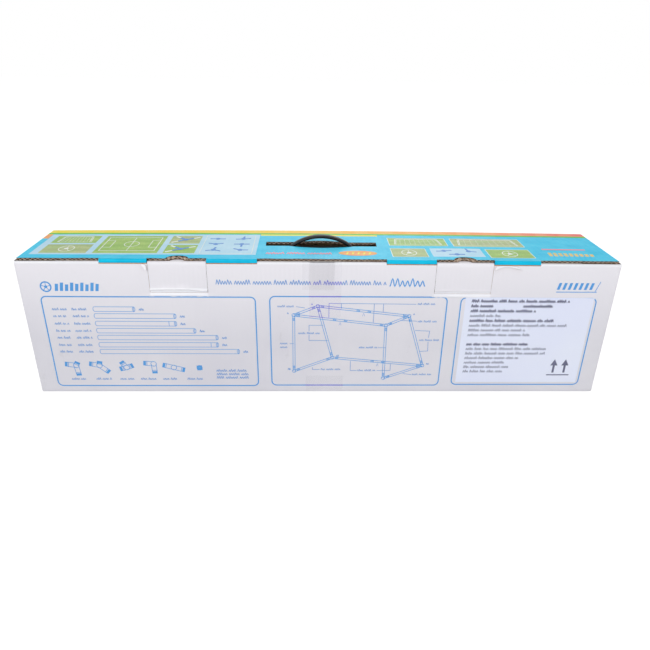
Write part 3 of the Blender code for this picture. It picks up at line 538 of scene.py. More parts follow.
def bow(u, v):
    """The long boards' upward bow, which is greatest at the middle of the back edge."""
    return (FRONT_BOW + (BACK_BOW - FRONT_BOW) * v / DEPTH) * (1 - (u / HALF_LENGTH) ** 2)


def lid_bulge(u, v):
    """How far the lid stands out of its plane; the handle pulls up the slot's back edge."""
    hold = window(u, -LID_HALF, LID_HALF, 0.10) * window(v, -0.03, DEPTH, 0.05)
    pulled = window(u, -ARCH_HALF, ARCH_HALF, 0.045) * window(v, SLOT_BACK - 0.050, SLOT_BACK + 0.050, 0.048)
    return bow(u, v) + hold * UNEVEN * uneven(u * 11, v * 16, 8.1) + HANDLE_PULL * pulled


def raised(u, z, v):
    """Height of a wall's point once the wall's top is bowed like the lid over it."""
    return z + bow(u, v) * (z / WALL_TOP) ** 4


def on_front(u, v, w):
    return Vector((u, FRONT - w - front_bulge(u, v), raised(u, v, 0)))


def on_lid(u, v, w):
    return Vector((u, FRONT + v, LID_TOP + w + lid_bulge(u, v)))


# Meshes


def stood(name, work):
    """An object in the scene, with the mesh that was worked on."""
    mesh = bpy.data.meshes.new(name)
    work.to_mesh(mesh)
    work.free()
    item = bpy.data.objects.new(name, mesh)
    bpy.context.scene.collection.objects.link(item)
    return item


def piece(name, work, surface, materials, home, replaced=(), smooth_below=None):
    """Moves a mesh in (u, v, w) to its place, and makes it an object that rides on a body."""
    if surface is not None:
        for vert in work.verts:
            vert.co = surface(*vert.co)
    bmesh.ops.recalc_face_normals(work, faces=work.faces)
    item = stood(name, work)
    for material in materials:
        item.data.materials.append(material)
    if smooth_below is not None:
        item.data.shade_smooth()
        item.data.set_sharp_from_angle(angle=math.radians(smooth_below))
    body, slot_name = home
    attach(item, body)
    if replaced:
        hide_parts(*replaced)
    return item


def stations(low, high, step, extra=()):
    """Even places from low to high, with the extra ones, none closer than a hair."""
    count = max(1, round((high - low) / step))
    places = [low + (high - low) * i / count for i in range(count + 1)]
    wanted = [low, high, *(place for place in extra if low < place < high)]
    kept = [place for place in places if all(abs(place - other) > step * 0.3 for other in wanted)]
    result = []
    for place in sorted([*wanted, *kept]):
        if not result or place - result[-1] > TINY:
            result.append(place)
    return result


def loft(work, rows, closed=False, kind=0):
    """Rings of points joined into a closed shell with one material number; gives its end faces."""
    for first, second in zip(rows, rows[1:] + rows[:1] if closed else rows[1:]):
        for a in range(len(first)):
            b = (a + 1) % len(first)
            work.faces.new((first[a], first[b], second[b], second[a])).material_index = kind
    ends = [] if closed else [work.faces.new(rows[0][::-1]), work.faces.new(rows[-1])]
    for end in ends:
        end.material_index = kind
    return ends


def slab(us, vs, low, high, keep=None, kinds=(0, 1, 2)):
    """A closed slab of grid cells, open where keep() refuses one; kinds number its top, bottom and sides."""
    work = bmesh.new()
    cells = [
        (i, j) for i in range(len(us) - 1) for j in range(len(vs) - 1)
        if keep is None or keep((us[i] + us[i + 1]) / 2, (vs[j] + vs[j + 1]) / 2)
    ]
    shown = set(cells)
    corners = {}

    def corner(spot, height):
        if (spot, height) not in corners:
            corners[spot, height] = work.verts.new((us[spot[0]], vs[spot[1]], height))
        return corners[spot, height]

    for i, j in cells:
        ring = ((i, j), (i + 1, j), (i + 1, j + 1), (i, j + 1))
        work.faces.new([corner(spot, high) for spot in ring]).material_index = kinds[0]
        work.faces.new([corner(spot, low) for spot in reversed(ring)]).material_index = kinds[1]
        for beyond, a, b in (((i, j - 1), 0, 1), ((i + 1, j), 1, 2), ((i, j + 1), 2, 3), ((i - 1, j), 3, 0)):
            if beyond not in shown:
                first, second = ring[a], ring[b]
                edge = (corner(first, low), corner(second, low), corner(second, high), corner(first, high))
                work.faces.new(edge).material_index = kinds[2]
    return work


def sheet(left, right, bottom, top, low, high, step_u, step_v, rows=()):
    """A slab of one material over a rectangle."""
    vs = stations(bottom, top, step_v, rows)
    return slab(stations(left, right, step_u), vs, low, high, kinds=(0, 0, 0))


def prism(work, outline, low, high, kinds=(0, 0, 0)):
    """A flat outline made solid; kinds number its top, bottom and sides."""
    rows = [[work.verts.new((u, v, height)) for u, v in outline] for height in (low, high)]
    bottom, top = loft(work, rows, kind=kinds[2])
    bottom.material_index = kinds[1]
    top.material_index = kinds[0]


def wave_sheet(low_u, high_u, vs):
    """The fluted middle of a board, as one thin closed sheet whose waves run along u."""
    work = bmesh.new()
    count = max(2, round((high_u - low_u) / FLUTE_PITCH * FLUTE_STEPS))
    swing = (BOARD - 2 * LINER - MEDIUM / 2) / 2
    rows = []
    for i in range(count + 1):
        u = low_u + (high_u - low_u) * i / count
        middle = BOARD / 2 + swing * math.sin(2 * math.pi * u / FLUTE_PITCH)
        under = [work.verts.new((u, v, middle - MEDIUM / 2)) for v in vs]
        over = [work.verts.new((u, v, middle + MEDIUM / 2)) for v in reversed(vs)]
        rows.append(under + over)
    loft(work, rows, kind=2)
    bmesh.ops.recalc_face_normals(work, faces=work.faces)
    return work


def add_shell(whole, shell, outlines):
    """Adds a shell to a board, with prisms cut out of it."""
    item = stood("carving", shell)
    cutters = []
    for outline in outlines:
        shape = bmesh.new()
        prism(shape, outline, -BOARD, 2 * BOARD, (2, 2, 2))
        bmesh.ops.recalc_face_normals(shape, faces=shape.faces)
        cutters.append(stood("cutter", shape))
        modifier = item.modifiers.new("cut", "BOOLEAN")
        modifier.operation = "DIFFERENCE"
        modifier.object = cutters[-1]
    for holder in (item, *cutters):
        for _ in range(3):
            holder.data.materials.append(KRAFT)
    bpy.context.view_layer.update()
    graph = bpy.context.evaluated_depsgraph_get()
    result = bpy.data.meshes.new_from_object(item.evaluated_get(graph))
    whole.from_mesh(result)
    bpy.data.meshes.remove(result)
    for holder in (item, *cutters):
        bpy.data.objects.remove(holder)


def board(us, vs, keep=None, cuts=((), (), ()), flute_step=1.0):
    """Three shells of a corrugated board in (u, v, w), with w from 0 inside to its thickness outside.

    Material 0 is the outer liner, 1 the inner one and 2 all that is raw. Cuts are listed for each shell:
    the outer liner, the inner one and the fluted middle.
    """
    whole = bmesh.new()
    ends = [place for row in (0.0015, 0.004) for place in (vs[0] + row, vs[-1] - row)]
    medium_vs = stations(vs[0] + MEDIUM, vs[-1] - MEDIUM, flute_step, ends)
    add_shell(whole, slab(us, vs, BOARD - LINER, BOARD, keep, (0, 2, 2)), cuts[0])
    add_shell(whole, slab(us, vs, 0, LINER, keep, (2, 1, 2)), cuts[1])
    add_shell(whole, wave_sheet(us[0] + MEDIUM, us[-1] - MEDIUM, medium_vs), cuts[2])
    return whole


def flute_cuts(spans, front, back):
    """Rectangles that open the fluted middle a little wider than the liners."""
    past = MEDIUM / 3
    return [box_outline(low - past, high + past, front - CUT_PAST, back + MEDIUM) for low, high in spans]


def corner_cut(u, v, du, dv, size):
    """A triangle that takes a board's corner off; du and dv point out of the board."""
    past_u, past_v = u + du * CUT_PAST, v + dv * CUT_PAST
    return [(past_u, past_v), (u - du * size, past_v), (past_u, v - dv * size)]


def repaint(work, choose):
    """Gives each face the material number that choose(number, u, v) says."""
    for face in work.faces:
        middle = face.calc_center_median()
        face.material_index = choose(face.material_index, middle.x, middle.y)


def extruded(profile, us):
    """A closed (v, w) profile swept along u."""
    work = bmesh.new()
    loft(work, [[work.verts.new((u, v, w)) for v, w in profile] for u in us])
    return work


def swept_band(path, section, across):
    """A closed band along a path that lies square to across; section points are (across, up)."""
    work = bmesh.new()
    rows = []
    for i, point in enumerate(path):
        ahead = (path[min(i + 1, len(path) - 1)] - path[max(i - 1, 0)]).normalized()
        up = across.cross(ahead)
        rows.append([work.verts.new(point + across * a + up * b) for a, b in section])
    loft(work, rows)
    return work


# Strokes and flat shapes, for print


def resampled(points):
    """The same line with more points, so that it can follow a bowed face."""
    result = [points[0]]
    for (u, v), (next_u, next_v) in zip(points, points[1:]):
        count = max(1, math.ceil(math.hypot(next_u - u, next_v - v) / INK_STEP))
        for share in (i / count for i in range(1, count + 1)):
            result.append((u + (next_u - u) * share, v + (next_v - v) * share))
    return result


def stroke(work, points, width, closed=False, lift=0.0):
    """A band of ink along a flat line, as a thin closed shell."""
    line = resampled([*points, points[0]])[:-1] if closed else resampled(points)
    low = INK_LIFT + lift
    high = low + INK_THICKNESS
    last = len(line) - 1
    rows = []
    for i, (u, v) in enumerate(line):
        before = line[i - 1] if closed or i > 0 else line[i]
        after = line[(i + 1) % len(line)] if closed or i < last else line[i]
        back = Vector((u - before[0], v - before[1])).normalized()
        ahead = Vector((after[0] - u, after[1] - v)).normalized()
        run = (back + ahead).normalized() if (back + ahead).length > 0.01 else back
        across = run.orthogonal() * width / 2 / max(0.6, run.dot(back), run.dot(ahead))
        sides = ((1, low), (-1, low), (-1, high), (1, high))
        rows.append([work.verts.new((u + side * across.x, v + side * across.y, w)) for side, w in sides])
    loft(work, rows, closed)


def patch(work, outline, lift=0.0):
    """A filled flat shape of ink."""
    prism(work, outline, INK_LIFT + lift, INK_LIFT + lift + INK_THICKNESS)


def box_outline(left, right, bottom, top):
    return [(left, bottom), (right, bottom), (right, top), (left, top)]


def oval(cx, cy, rx, ry, steps, start=0, end=360):
    """An ellipse, or an arc of one with both its ends."""
    count = steps if end - start == 360 else steps + 1
    turns = [math.radians(start + (end - start) * i / steps) for i in range(count)]
    return [(cx + rx * math.cos(a), cy + ry * math.sin(a)) for a in turns]


def round_box(left, right, bottom, top, radius):
    """A rectangle with round corners."""
    points = []
    middles = box_outline(left + radius, right - radius, bottom + radius, top - radius)
    for middle, start in zip(middles, (180, -90, 0, 90)):
        points += oval(*middle, radius, radius, 5, start, start + 90)
    return points


def scribble(work, left, right, base, height, pitch, width, dice, word):
    """Plain waves in words of so many turns, which stand for a line of print."""
    place = left
    while place < right - pitch:
        turns = min(dice.randint(*word), int((right - place) / pitch))
        points = []
        tall = 0.8
        for i in range(turns * 6 + 1):
            if i % 6 == 0:
                tall = dice.choice((0.65, 0.7, 0.75, 1.0))
            swing = 0.5 - 0.5 * math.cos(math.pi * i / 3)
            points.append((place + i * pitch / 6, base + height * tall * swing))
        stroke(work, points, width)
        place += (turns + 0.9) * pitch


# Front wall and the rest of the carton


def inside(spans, u, slack=0.0):
    """Says if a place along the carton lies in one of the spans."""
    return any(low - slack < u < high + slack for low, high in spans)


def rounded(w, *margins):
    """Depth of a wall's point once its outer face is rounded at the edges, which lie that far away."""
    if w < BOARD / 2:
        return w
    spread = sum(max(0.0, FOLD_RADIUS - margin) ** 2 for margin in margins)
    return max(0.0003, w - FOLD_RADIUS + math.sqrt(max(0.0, FOLD_RADIUS**2 - spread)))


def wall_rounded(u, v, w):
    """The same for a long wall, which is round at its ends, its foot and its top."""
    return rounded(w, HALF_LENGTH - abs(u), min(v, WALL_TOP - v))


def wall_stations(low, high, step, extra=()):
    """Stations that lie close together at a wall's round edges."""
    ends = [edge for place in FOLD_STATIONS for edge in (low + place, high - place)]
    return stations(low, high, step, [*ends, *extra])


def hinge_free(u, z):
    """0 at a press tab's crease and 1 away from it, so that a swung tab has room."""
    return smooth((abs(z - TAB_FOOT) - 0.0010) / 0.0026) if inside(TAB_SPANS, u, 0.002) else 1.0


def crease_wrinkle(u, z):
    """Relief of the crushed crease at the foot of the press tabs: a ridge above it and one below."""
    up = z - TAB_FOOT
    wander = 0.0030 * uneven(u * 28, 0.4, 1.3)
    rough = uneven(u * 150, z * 300, 7.7)
    crushed = 1.0 if u < 0 else 0.35
    relief = 0.0008 * max(0.0, 1 - abs(up + 0.0046 - wander * 0.3) / 0.0024)
    relief += 0.0016 * crushed * max(0.0, 1 - abs(up - 0.0050 - wander * crushed) / 0.0024)
    return window(up, -0.0085, 0.0090, 0.002) * (relief * (1 + 0.6 * rough) + 0.0003 * rough)


def in_front(u, v, w, relief):
    """A place in the front wall's board, with relief on its outer face."""
    return Vector((u, FRONT + BOARD - w - relief * hinge_free(u, v) * w / BOARD, raised(u, v, 0)))


def make_front_wall():
    notch = WALL_TOP - NOTCH_DEPTH
    rows = [notch, notch - TORN_STRIP, TAB_FOOT - TAB_CUT, *(TAB_FOOT - row for row in CREASE_ROWS)]
    columns = [edge for slit in SLITS for edge in slit]
    for low, high in TAB_SPANS:
        columns += [low - 0.0004, high + 0.0004]
        columns += [low + (high - low) * i / TAB_COLUMNS for i in range(1, TAB_COLUMNS)]
    us = wall_stations(-HALF_LENGTH, HALF_LENGTH, WALL_GRID_STEP, columns)
    vs = wall_stations(0, WALL_TOP, WALL_GRID_STEP, rows)

    def keep(u, v):
        if v > notch and inside(SLITS, u):
            return False
        return not (v > TAB_FOOT - TAB_CUT and inside(TAB_SPANS, u, 0.00045))

    def paint(kind, u, v):
        """Torn strips under the tongues, and a painted highlight on the wall's rounded top and on the creases
        under the tabs.
        """
        highlit = v > WALL_TOP - PAINTED_HIGHLIGHT_BAND or (inside(TAB_SPANS, u) and v > TAB_FOOT - 0.0060)
        if kind == 0 and inside(SLITS, u) and v > notch - TORN_STRIP:
            kind = 2
        elif kind == 0 and highlit:
            kind = 3
        # The raw edge's top rim takes the painted highlight as well.
        return 3 if kind == 2 and v > WALL_TOP - RIM else kind

    def place(u, v, w):
        relief = front_bulge(u, v)
        if inside(TAB_SPANS, u, 0.002) and v < TAB_FOOT + 0.001:
            relief += crease_wrinkle(u, v)
        return in_front(u, v, wall_rounded(u, v, w), relief)

    work = slab(us, vs, 0, BOARD, keep)
    repaint(work, paint)
    piece("front_wall_board", work, place, [WHITE, KRAFT, TORN, PAINTED_HIGHLIGHT_LINER], CARTON, ["front_wall"], 50)


def make_back_wall():
    def place(u, v, w):
        w = wall_rounded(u, v, w)
        return Vector((u, BACK - BOARD + w + front_bulge(-u, v) * w / BOARD, raised(u, v, DEPTH)))

    us = wall_stations(-HALF_LENGTH, HALF_LENGTH, WALL_GRID_STEP * 1.5)
    work = slab(us, wall_stations(0, WALL_TOP, WALL_GRID_STEP * 1.5), 0, BOARD, kinds=(0, 1, 0))
    piece("back_wall_board", work, place, BOARD_WHITE, CARTON, ["back_wall"], 50)


def make_bottom():
    low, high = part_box("bottom_panel")
    work = board(stations(low.x, high.x, 0.02), stations(low.y, high.y, 0.02))
    piece("bottom_board", work, lambda u, v, w: (u, v, BOARD - w), BOARD_WHITE, CARTON, ["bottom_panel"], 40)


def end_board(node, steps, materials, home, cut=0.0, swell=0.0):
    """A board at one end of the carton, from its node's box; cut takes its lower corners off."""
    low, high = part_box(node)
    sign = 1 if high.x > 0 else -1
    outer = max(high.x, -low.x)
    cuts = [corner_cut(edge, low.z, du, -1, cut) for edge, du in ((low.y, -1), (high.y, 1))] if cut else ()

    def place(u, v, w):
        hold = window(u, FRONT, BACK, 0.04) * window(v, 0, WALL_TOP, 0.05)
        bulge = hold * swell * uneven(u * 15 + sign * 5, v * 12, 2.2)
        return sign * (outer - BOARD + w + bulge * w / BOARD), u, v

    work = board(stations(low.y, high.y, steps[0]), stations(low.z, high.z, steps[1]), cuts=[cuts] * 3)
    piece(f"{node.removesuffix('_panel')}_board", work, place, materials, home, [node], 40)


def make_ends():
    """End panels with a raw top edge, and the brown flaps inside them."""
    for word in ("left", "right"):
        end_board(f"{word}_end_panel", (0.010, 0.012), [WHITE_Y, KRAFT_Y, RAW_SHADED], CARTON, swell=BULGE)
        for part in ("front", "back"):
            end_board(f"{word}_end_{part}_flap", (0.012, 0.012), [KRAFT_Y, KRAFT_Y, RAW_SHADED], CARTON_INSIDE)


def make_ledge():
    """The flap that folds in from the front wall, with slits for the tongues."""
    low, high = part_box("front_ledge_flap")
    slit_back = FRONT + 2 * BOARD + 0.003
    us = stations(low.x, high.x, 0.012, [edge for slit in SLITS for edge in slit])
    vs = stations(low.y, high.y, 0.008, [slit_back])
    corners = [corner_cut(side * high.x, high.y, side, 1, 0.030) for side in (-1, 1)]
    cuts = [corners, corners, corners + flute_cuts(SLITS, low.y, slit_back)]
    work = board(us, vs, lambda u, v: not (v < slit_back and inside(SLITS, u)), cuts)

    def place(u, v, w):
        return u, v, WALL_TOP - BOARD + w + bow(u, 0)

    piece("ledge_board", work, place, BOARD_WHITE, CARTON, ["front_ledge_flap"], 40)


def make_tabs():
    """Press tabs, rounded on top and crushed along their foot crease."""
    for word in ("left", "right"):
        node = f"{word}_press_tab"
        low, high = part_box(node)
        # Up to this height the tab's foot crease takes the paler liner, a painted highlight.
        crushed = low.z + (0.0072 if low.x < 0 else 0.0030)
        rows = [high.z - place for place in FOLD_STATIONS] + [low.z + row for row in CREASE_ROWS]

        def paint(kind, u, v):
            if kind == 2:
                return 0 if v > high.z - RIM else 2
            return 3 if kind == 0 and v < crushed else kind

        def place(u, v, w):
            across = 1 - ((u - (low.x + high.x) / 2) / 0.046) ** 2
            relief = front_bulge(u, v) + 0.0004 * across * window(v, low.z, high.z + 0.03, 0.04)
            return in_front(u, v, rounded(w, high.z - v), relief + crease_wrinkle(u, v))

        work = slab(stations(low.x, high.x, 0.0038), stations(low.z, high.z, 0.008, rows), 0, BOARD)
        repaint(work, paint)
        home = (f"{word}_tab", "white_board")
        piece(f"{node}_board", work, place, [WHITE, KRAFT, RAW_SHADED, PAINTED_HIGHLIGHT_LINER], home, [node], 50)


# Lid


def slot_outline():
    """The handle slot, with a forward bow in its middle."""
    bowed = []
    for share in (-1 + i / 12 for i in range(25)):
        bowed.append((share * SLOT_BULGE_HALF, SLOT_FRONT - SLOT_BULGE * math.cos(share * math.pi / 2)))
    start, *rest = box_outline(-SLOT_HALF, SLOT_HALF, SLOT_FRONT, SLOT_BACK)
    return [start, *bowed, *rest]


def thumb_outline(centre, grow):
    """A half-oval notch over a press tab."""
    half = THUMB_WIDTH / 2 + grow
    arch = oval(centre, RAW_EDGE, half, THUMB_DEPTH + grow, 16, 0, 180)
    return [*arch, (centre - half, -CUT_PAST), (centre + half, -CUT_PAST)]


def in_lid(u, v, w):
    """A place in the lid's board, w over its bottom."""
    return on_lid(u, v, w - BOARD)


def in_dented_lid(u, v, w):
    """The same, with small dents in the raw front edge."""
    dents = max(0.0, 1 - max(0.0, v - RAW_EDGE) / 0.010) * (2.2 if inside(TAB_SPANS, u) else 1.0)
    if inside(TONGUE_SPANS, u, 0.002):
        dents = 0.0
    dent = Vector((0, 0.0004 * uneven(u * 190, w * 700, 4.4), 0.0003 * uneven(u * 75, 0.3, 9.2)))
    return in_lid(u, v, w) + dents * dent


def make_lid():
    """The lid board with its print, its round back fold and the noses over the tongues."""
    back = DEPTH - FOLD_RADIUS
    columns = {edge for area in (*LID_PRINTS, *TONGUE_SPANS) for edge in area[:2]}
    rows = {RAW_EDGE, 0.0065, 0.009, 0.0125, *(edge for area in LID_PRINTS for edge in area[2:4])}
    us = stations(-LID_HALF, LID_HALF, GRID_STEP, columns)
    vs = stations(FOLD_RADIUS, back, GRID_STEP, rows)
    cuts = []
    for grow in (0.0025, -0.004, 0.0):
        cuts.append([slot_outline(), *(thumb_outline(centre, grow) for centre in TAB_MIDDLES)])
    cuts[2] += flute_cuts(RAW_SPANS, FOLD_RADIUS, RAW_EDGE)

    def paint(kind, u, v):
        if kind == 0:
            for low, high, front, rear, number in LID_PRINTS:
                if low < u < high and front < v < rear:
                    kind = number
        return kind

    work = board(us, vs, lambda u, v: v > RAW_EDGE or inside(TONGUE_SPANS, u), cuts, 0.014)
    repaint(work, paint)
    inks = [CYAN, KRAFT, RAW_SHADED, PALE_BLUE, GRASS, MEADOW, SUNSET, GREEN_LINE, YELLOW_LINE, ORANGE]
    piece("lid_board", work, in_dented_lid, inks, LID, ["lid_panel"], 30)

    def on_back(u, v, w):
        return u, FRONT + v, LID_BOTTOM + w + bow(u, DEPTH)

    fold = oval(back, BOARD - FOLD_RADIUS, FOLD_RADIUS, FOLD_RADIUS, 6, 0, 90)
    profile = [(back - 0.0001, 0.0), (DEPTH, 0.0), *fold, (back - 0.0001, BOARD)]
    swept = extruded(profile, stations(-LID_HALF, LID_HALF, 0.02))
    piece("lid_back_fold", swept, on_back, [SUNSET], LID, smooth_below=40)

    def on_nose(u, v, w):
        ripple = 0.00025 * uneven(u * 90, w * 200, 5.5) * (1 - v / 0.0035)
        return u, FRONT + v + ripple, LID_BOTTOM + w + bow(u, 0)

    curve = oval(FOLD_RADIUS, BOARD - FOLD_RADIUS, FOLD_RADIUS, FOLD_RADIUS, 6, 90, 180)
    inner = FOLD_RADIUS + 0.0002
    profile = [*curve, (0.0, 0.0), (inner, 0.0), (inner, BOARD - 0.00001)]
    # The noses take the darker copy of the cyan print, painted shade on the front-facing fold.
    for node, (low, high) in zip(TONGUES, TONGUE_SPANS):
        swept = extruded(profile, stations(low, high, 0.006))
        piece(f"{node}_fold", swept, on_nose, [SHADED_FOLD_CYAN], LID, smooth_below=50)


def frayed(work, path, dice, centre=None):
    """Crushed flutes along a raw edge, which faces the front or a notch's centre."""
    travelled = 0.0
    before = path[0]
    rows = []
    for spot in path:
        u, v = spot
        travelled += math.dist(before, spot)
        before = spot
        turn = 2 * math.pi * travelled / FLUTE_PITCH + 1.6 * uneven(u * 55, v * 55, 2.4)
        middle = BOARD / 2 + 0.0011 * math.sin(turn)
        thick = 0.00042 * dice.uniform(0.5, 1.5)
        into = Vector((0, 1)) if centre is None else Vector((u - centre, v - RAW_EDGE)).normalized()
        near = Vector(spot) - into * dice.uniform(0, 0.0006)
        far = Vector(spot) + into * 0.0025
        ring = ((near, -thick), (near, thick), (far, thick), (far, -thick))
        rows.append([work.verts.new((*place, middle + w)) for place, w in ring])
    loft(work, rows)


def make_frayed_edges():
    """Pale crushed flutes in the lid's raw front edge, its thumb notches and the slot's back edge."""
    dice = random.Random(17)
    work = bmesh.new()
    step = FLUTE_PITCH / 8
    for low, high in RAW_SPANS:
        centre = (low + high) / 2
        gap = THUMB_WIDTH / 2 if inside(TAB_SPANS, centre) else 0.0
        for start, end in ((low, centre - gap), (centre + gap, high)):
            frayed(work, [(u, RAW_EDGE) for u in stations(start + 0.0004, end - 0.0001, step)], dice)
    for centre in TAB_MIDDLES:
        for grow in (0.0, -0.0035):
            arch = oval(centre, RAW_EDGE, THUMB_WIDTH / 2 + grow, THUMB_DEPTH + grow, 44, 4, 176)
            frayed(work, arch, dice, centre)
    us = stations(-SLOT_HALF + 0.0003, SLOT_HALF - 0.0003, step)
    frayed(work, [(u, SLOT_BACK) for u in us], dice)
    piece("lid_frayed_edges", work, in_lid, [FRAYED], LID)


def make_tongues():
    """Each tongue's shoulder, and its board behind the wall."""
    shelf = WALL_TOP - NOTCH_DEPTH + 0.0003
    for node in TONGUES:
        low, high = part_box(node)
        home = (node.removeprefix("lock_"), "lid_print")
        profile = [(FRONT, WALL_TOP + 0.0003), (FRONT, shelf), (high.y - BOARD, shelf)]
        profile += [(high.y - BOARD, shelf - 0.0012), (high.y, shelf - 0.0012), (high.y, WALL_TOP)]
        work = extruded(profile, stations(low.x, high.x, 0.006))
        # The shoulder and the board take the darker copy of the cyan print, painted shade.
        piece(f"{node}_shoulder", work, lambda u, v, w: (u, v, w + bow(u, 0)), [SHADED_FOLD_CYAN], home, [node], 40)
        work = board(stations(low.x, high.x, 0.010), stations(low.z, shelf - 0.0010, 0.006))

        def place(u, v, w):
            return u, high.y - w, v + bow(u, 0)

        piece(f"{node}_board", work, place, [SHADED_FOLD_CYAN, KRAFT, RAW_SHADED], home, [node], 40)


def make_ears():
    for word in ("left", "right"):
        home = (f"{word}_ear", "white_board")
        end_board(f"{word}_lid_ear", (0.010, 0.008), [WHITE_Y, KRAFT_Y, RAW_SHADED], home, 0.012)


# Handle


def make_handle():
    """The arched strap with a ridged top, and the wide black strap under it that fills the slot's bow."""
    rise = bow(0, DEPTH / 2)
    top = LID_BOTTOM - 0.0003 + rise
    radius = (ARCH_HALF**2 + ARCH_HEIGHT**2) / (2 * ARCH_HEIGHT)
    reach = radius - ARCH_THICKNESS / 2
    spread = math.degrees(math.asin(ARCH_HALF / radius))
    foot = (ARCH_HALF + 0.0016, top - 0.0023)
    arc = oval(0, LID_TOP + rise + ARCH_HEIGHT - radius, reach, reach, 32, 90 + spread, 90 - spread)
    path = [Vector((x, HANDLE_Y, z)) for x, z in ((-foot[0], foot[1]), *arc, foot)]
    half = HANDLE_WIDTH / 2 - 0.0003
    thick = ARCH_THICKNESS / 2
    side = [(half - 0.0009, -thick), (half, -thick + 0.0008), (half, thick - 0.0012)]
    side += [(half - 0.0009, thick - 0.0002), (0.0026, thick), (0.0018, thick - 0.0006)]
    section = side + [(-a, b) for a, b in reversed(side)]
    arch = swept_band(path, section, Vector((0, 1, 0)))
    piece("handle_arch", arch, None, [BLACK], HANDLE, ["carry_handle"], 50)

    def place(u, v, w):
        share = u / SLOT_BULGE_HALF
        swell = math.cos(share * math.pi / 2) if abs(share) < 1 else 0.0
        front = HANDLE_Y - 0.0052 - (SLOT_BULGE + 0.0004) * swell
        back = HANDLE_Y + 0.0052
        edge = 0.0008 if v in (0, 1) else 0.0
        crown = 0.0016 * swell**0.6 + 0.0005 * math.sin(v * math.pi)
        height = min(w, STRAP_THICKNESS - edge)
        return u, front + (back - front) * v, top - STRAP_THICKNESS + crown + height

    # The strap under the slot takes the darker black, partly painted shade inside the slot.
    us = stations(-SLOT_HALF - 0.022, SLOT_HALF + 0.022, 0.004)
    strap = slab(us, [0, 0.08, 0.25, 0.5, 0.75, 0.92, 1], 0, STRAP_THICKNESS, kinds=(0, 0, 0))
    piece("handle_strap", strap, place, [SLOT_SHADE_STRAP], HANDLE, ["carry_handle"], 50)


# Print


def front_print(name, work, material):
    piece(name, work, on_front, [material], CARTON)


def lid_print(name, work, material):
    piece(name, work, on_lid, [material], LID)


def heading(turn):
    """The direction at an angle in degrees."""
    return Vector((math.cos(math.radians(turn)), math.sin(math.radians(turn))))


def bar(work, left, base, width, height, lean):
    """A slanted bar, which stands for a letter."""
    right, tip = left + width, base + height
    patch(work, [(left, base), (right, base), (right + lean, tip), (left + lean, tip)])


def pipe(work, points, width, line):
    """A drawn pipe: two lines with an open middle."""
    for a, b in zip(points, points[1:]):
        a, b = Vector(a), Vector(b)
        side = (b - a).orthogonal().normalized() * width / 2
        for shift in (-side, side):
            stroke(work, [a + shift, b + shift], line)


def tick(work, spot, run, half, line):
    """A short line across a drawn pipe."""
    side = run.orthogonal() * half
    stroke(work, [spot - side, spot + side], line)


def ball(work, cx, cy, rim, core, near, far, tall, lines):
    """A plain ball: a rim, a five-sided patch in its middle and a seam out of each corner."""
    stroke(work, oval(cx, cy, *rim), lines[0], closed=True)
    patch(work, oval(cx, cy, *core, 5, 18, 378))
    for i in range(5):
        run = heading(18 + 72 * i) * Vector((1, tall))
        stroke(work, [Vector((cx, cy)) + near * run, Vector((cx, cy)) + far * run], lines[1])


def make_front_frames():
    """Three rounded frames around the front wall's prints."""
    work = bmesh.new()
    for left, right, bottom, top in (
        (-0.444, -0.106, 0.013, 0.177), (-0.083, 0.2025, 0.014, 0.1785), (0.225, 0.446, 0.0155, 0.1775),
    ):
        stroke(work, round_box(left, right, bottom, top, 0.008), FRAME_LINE, closed=True)
    front_print("front_frame_print", work, BLUE_INK)


def make_front_emblem():
    """A plain ball and slanted bars at the left, and slanted bars on a line at the right."""
    work = bmesh.new()
    ball(work, -0.4325, 0.1935, (0.0080, 0.0080, 30), (0.0030, 0.0030), 0.0032, 0.0078, 1.0, (0.0022, 0.0011))
    for i, height in enumerate((0.012, 0.014, 0.011, 0.014, 0.012, 0.014, 0.011, 0.014, 0.012)):
        bar(work, -0.4195 + i * 0.0079, 0.1865, 0.0050, height, height * 0.16)
    for i in range(7):
        bar(work, 0.377 + i * 0.0088, 0.1925, 0.0045, 0.0115, 0.0027)
    stroke(work, [(0.377, 0.1885), (0.443, 0.1885)], 0.0013)
    stroke(work, [(0.4400, 0.1885), (0.4462, 0.2062)], 0.0011)
    front_print("front_emblem_print", work, BLUE_INK)


def make_slogan():
    dice = random.Random(11)
    thin, bold = bmesh.new(), bmesh.new()
    scribble(thin, -0.167, 0.103, 0.1985, 0.0076, 0.0042, 0.0012, dice, (3, 9))
    scribble(bold, 0.108, 0.166, 0.1965, 0.0130, 0.0080, 0.0018, dice, (7, 7))
    front_print("front_line_print", thin, SMALL_INK)
    front_print("front_bold_print", bold, BLUE_INK)


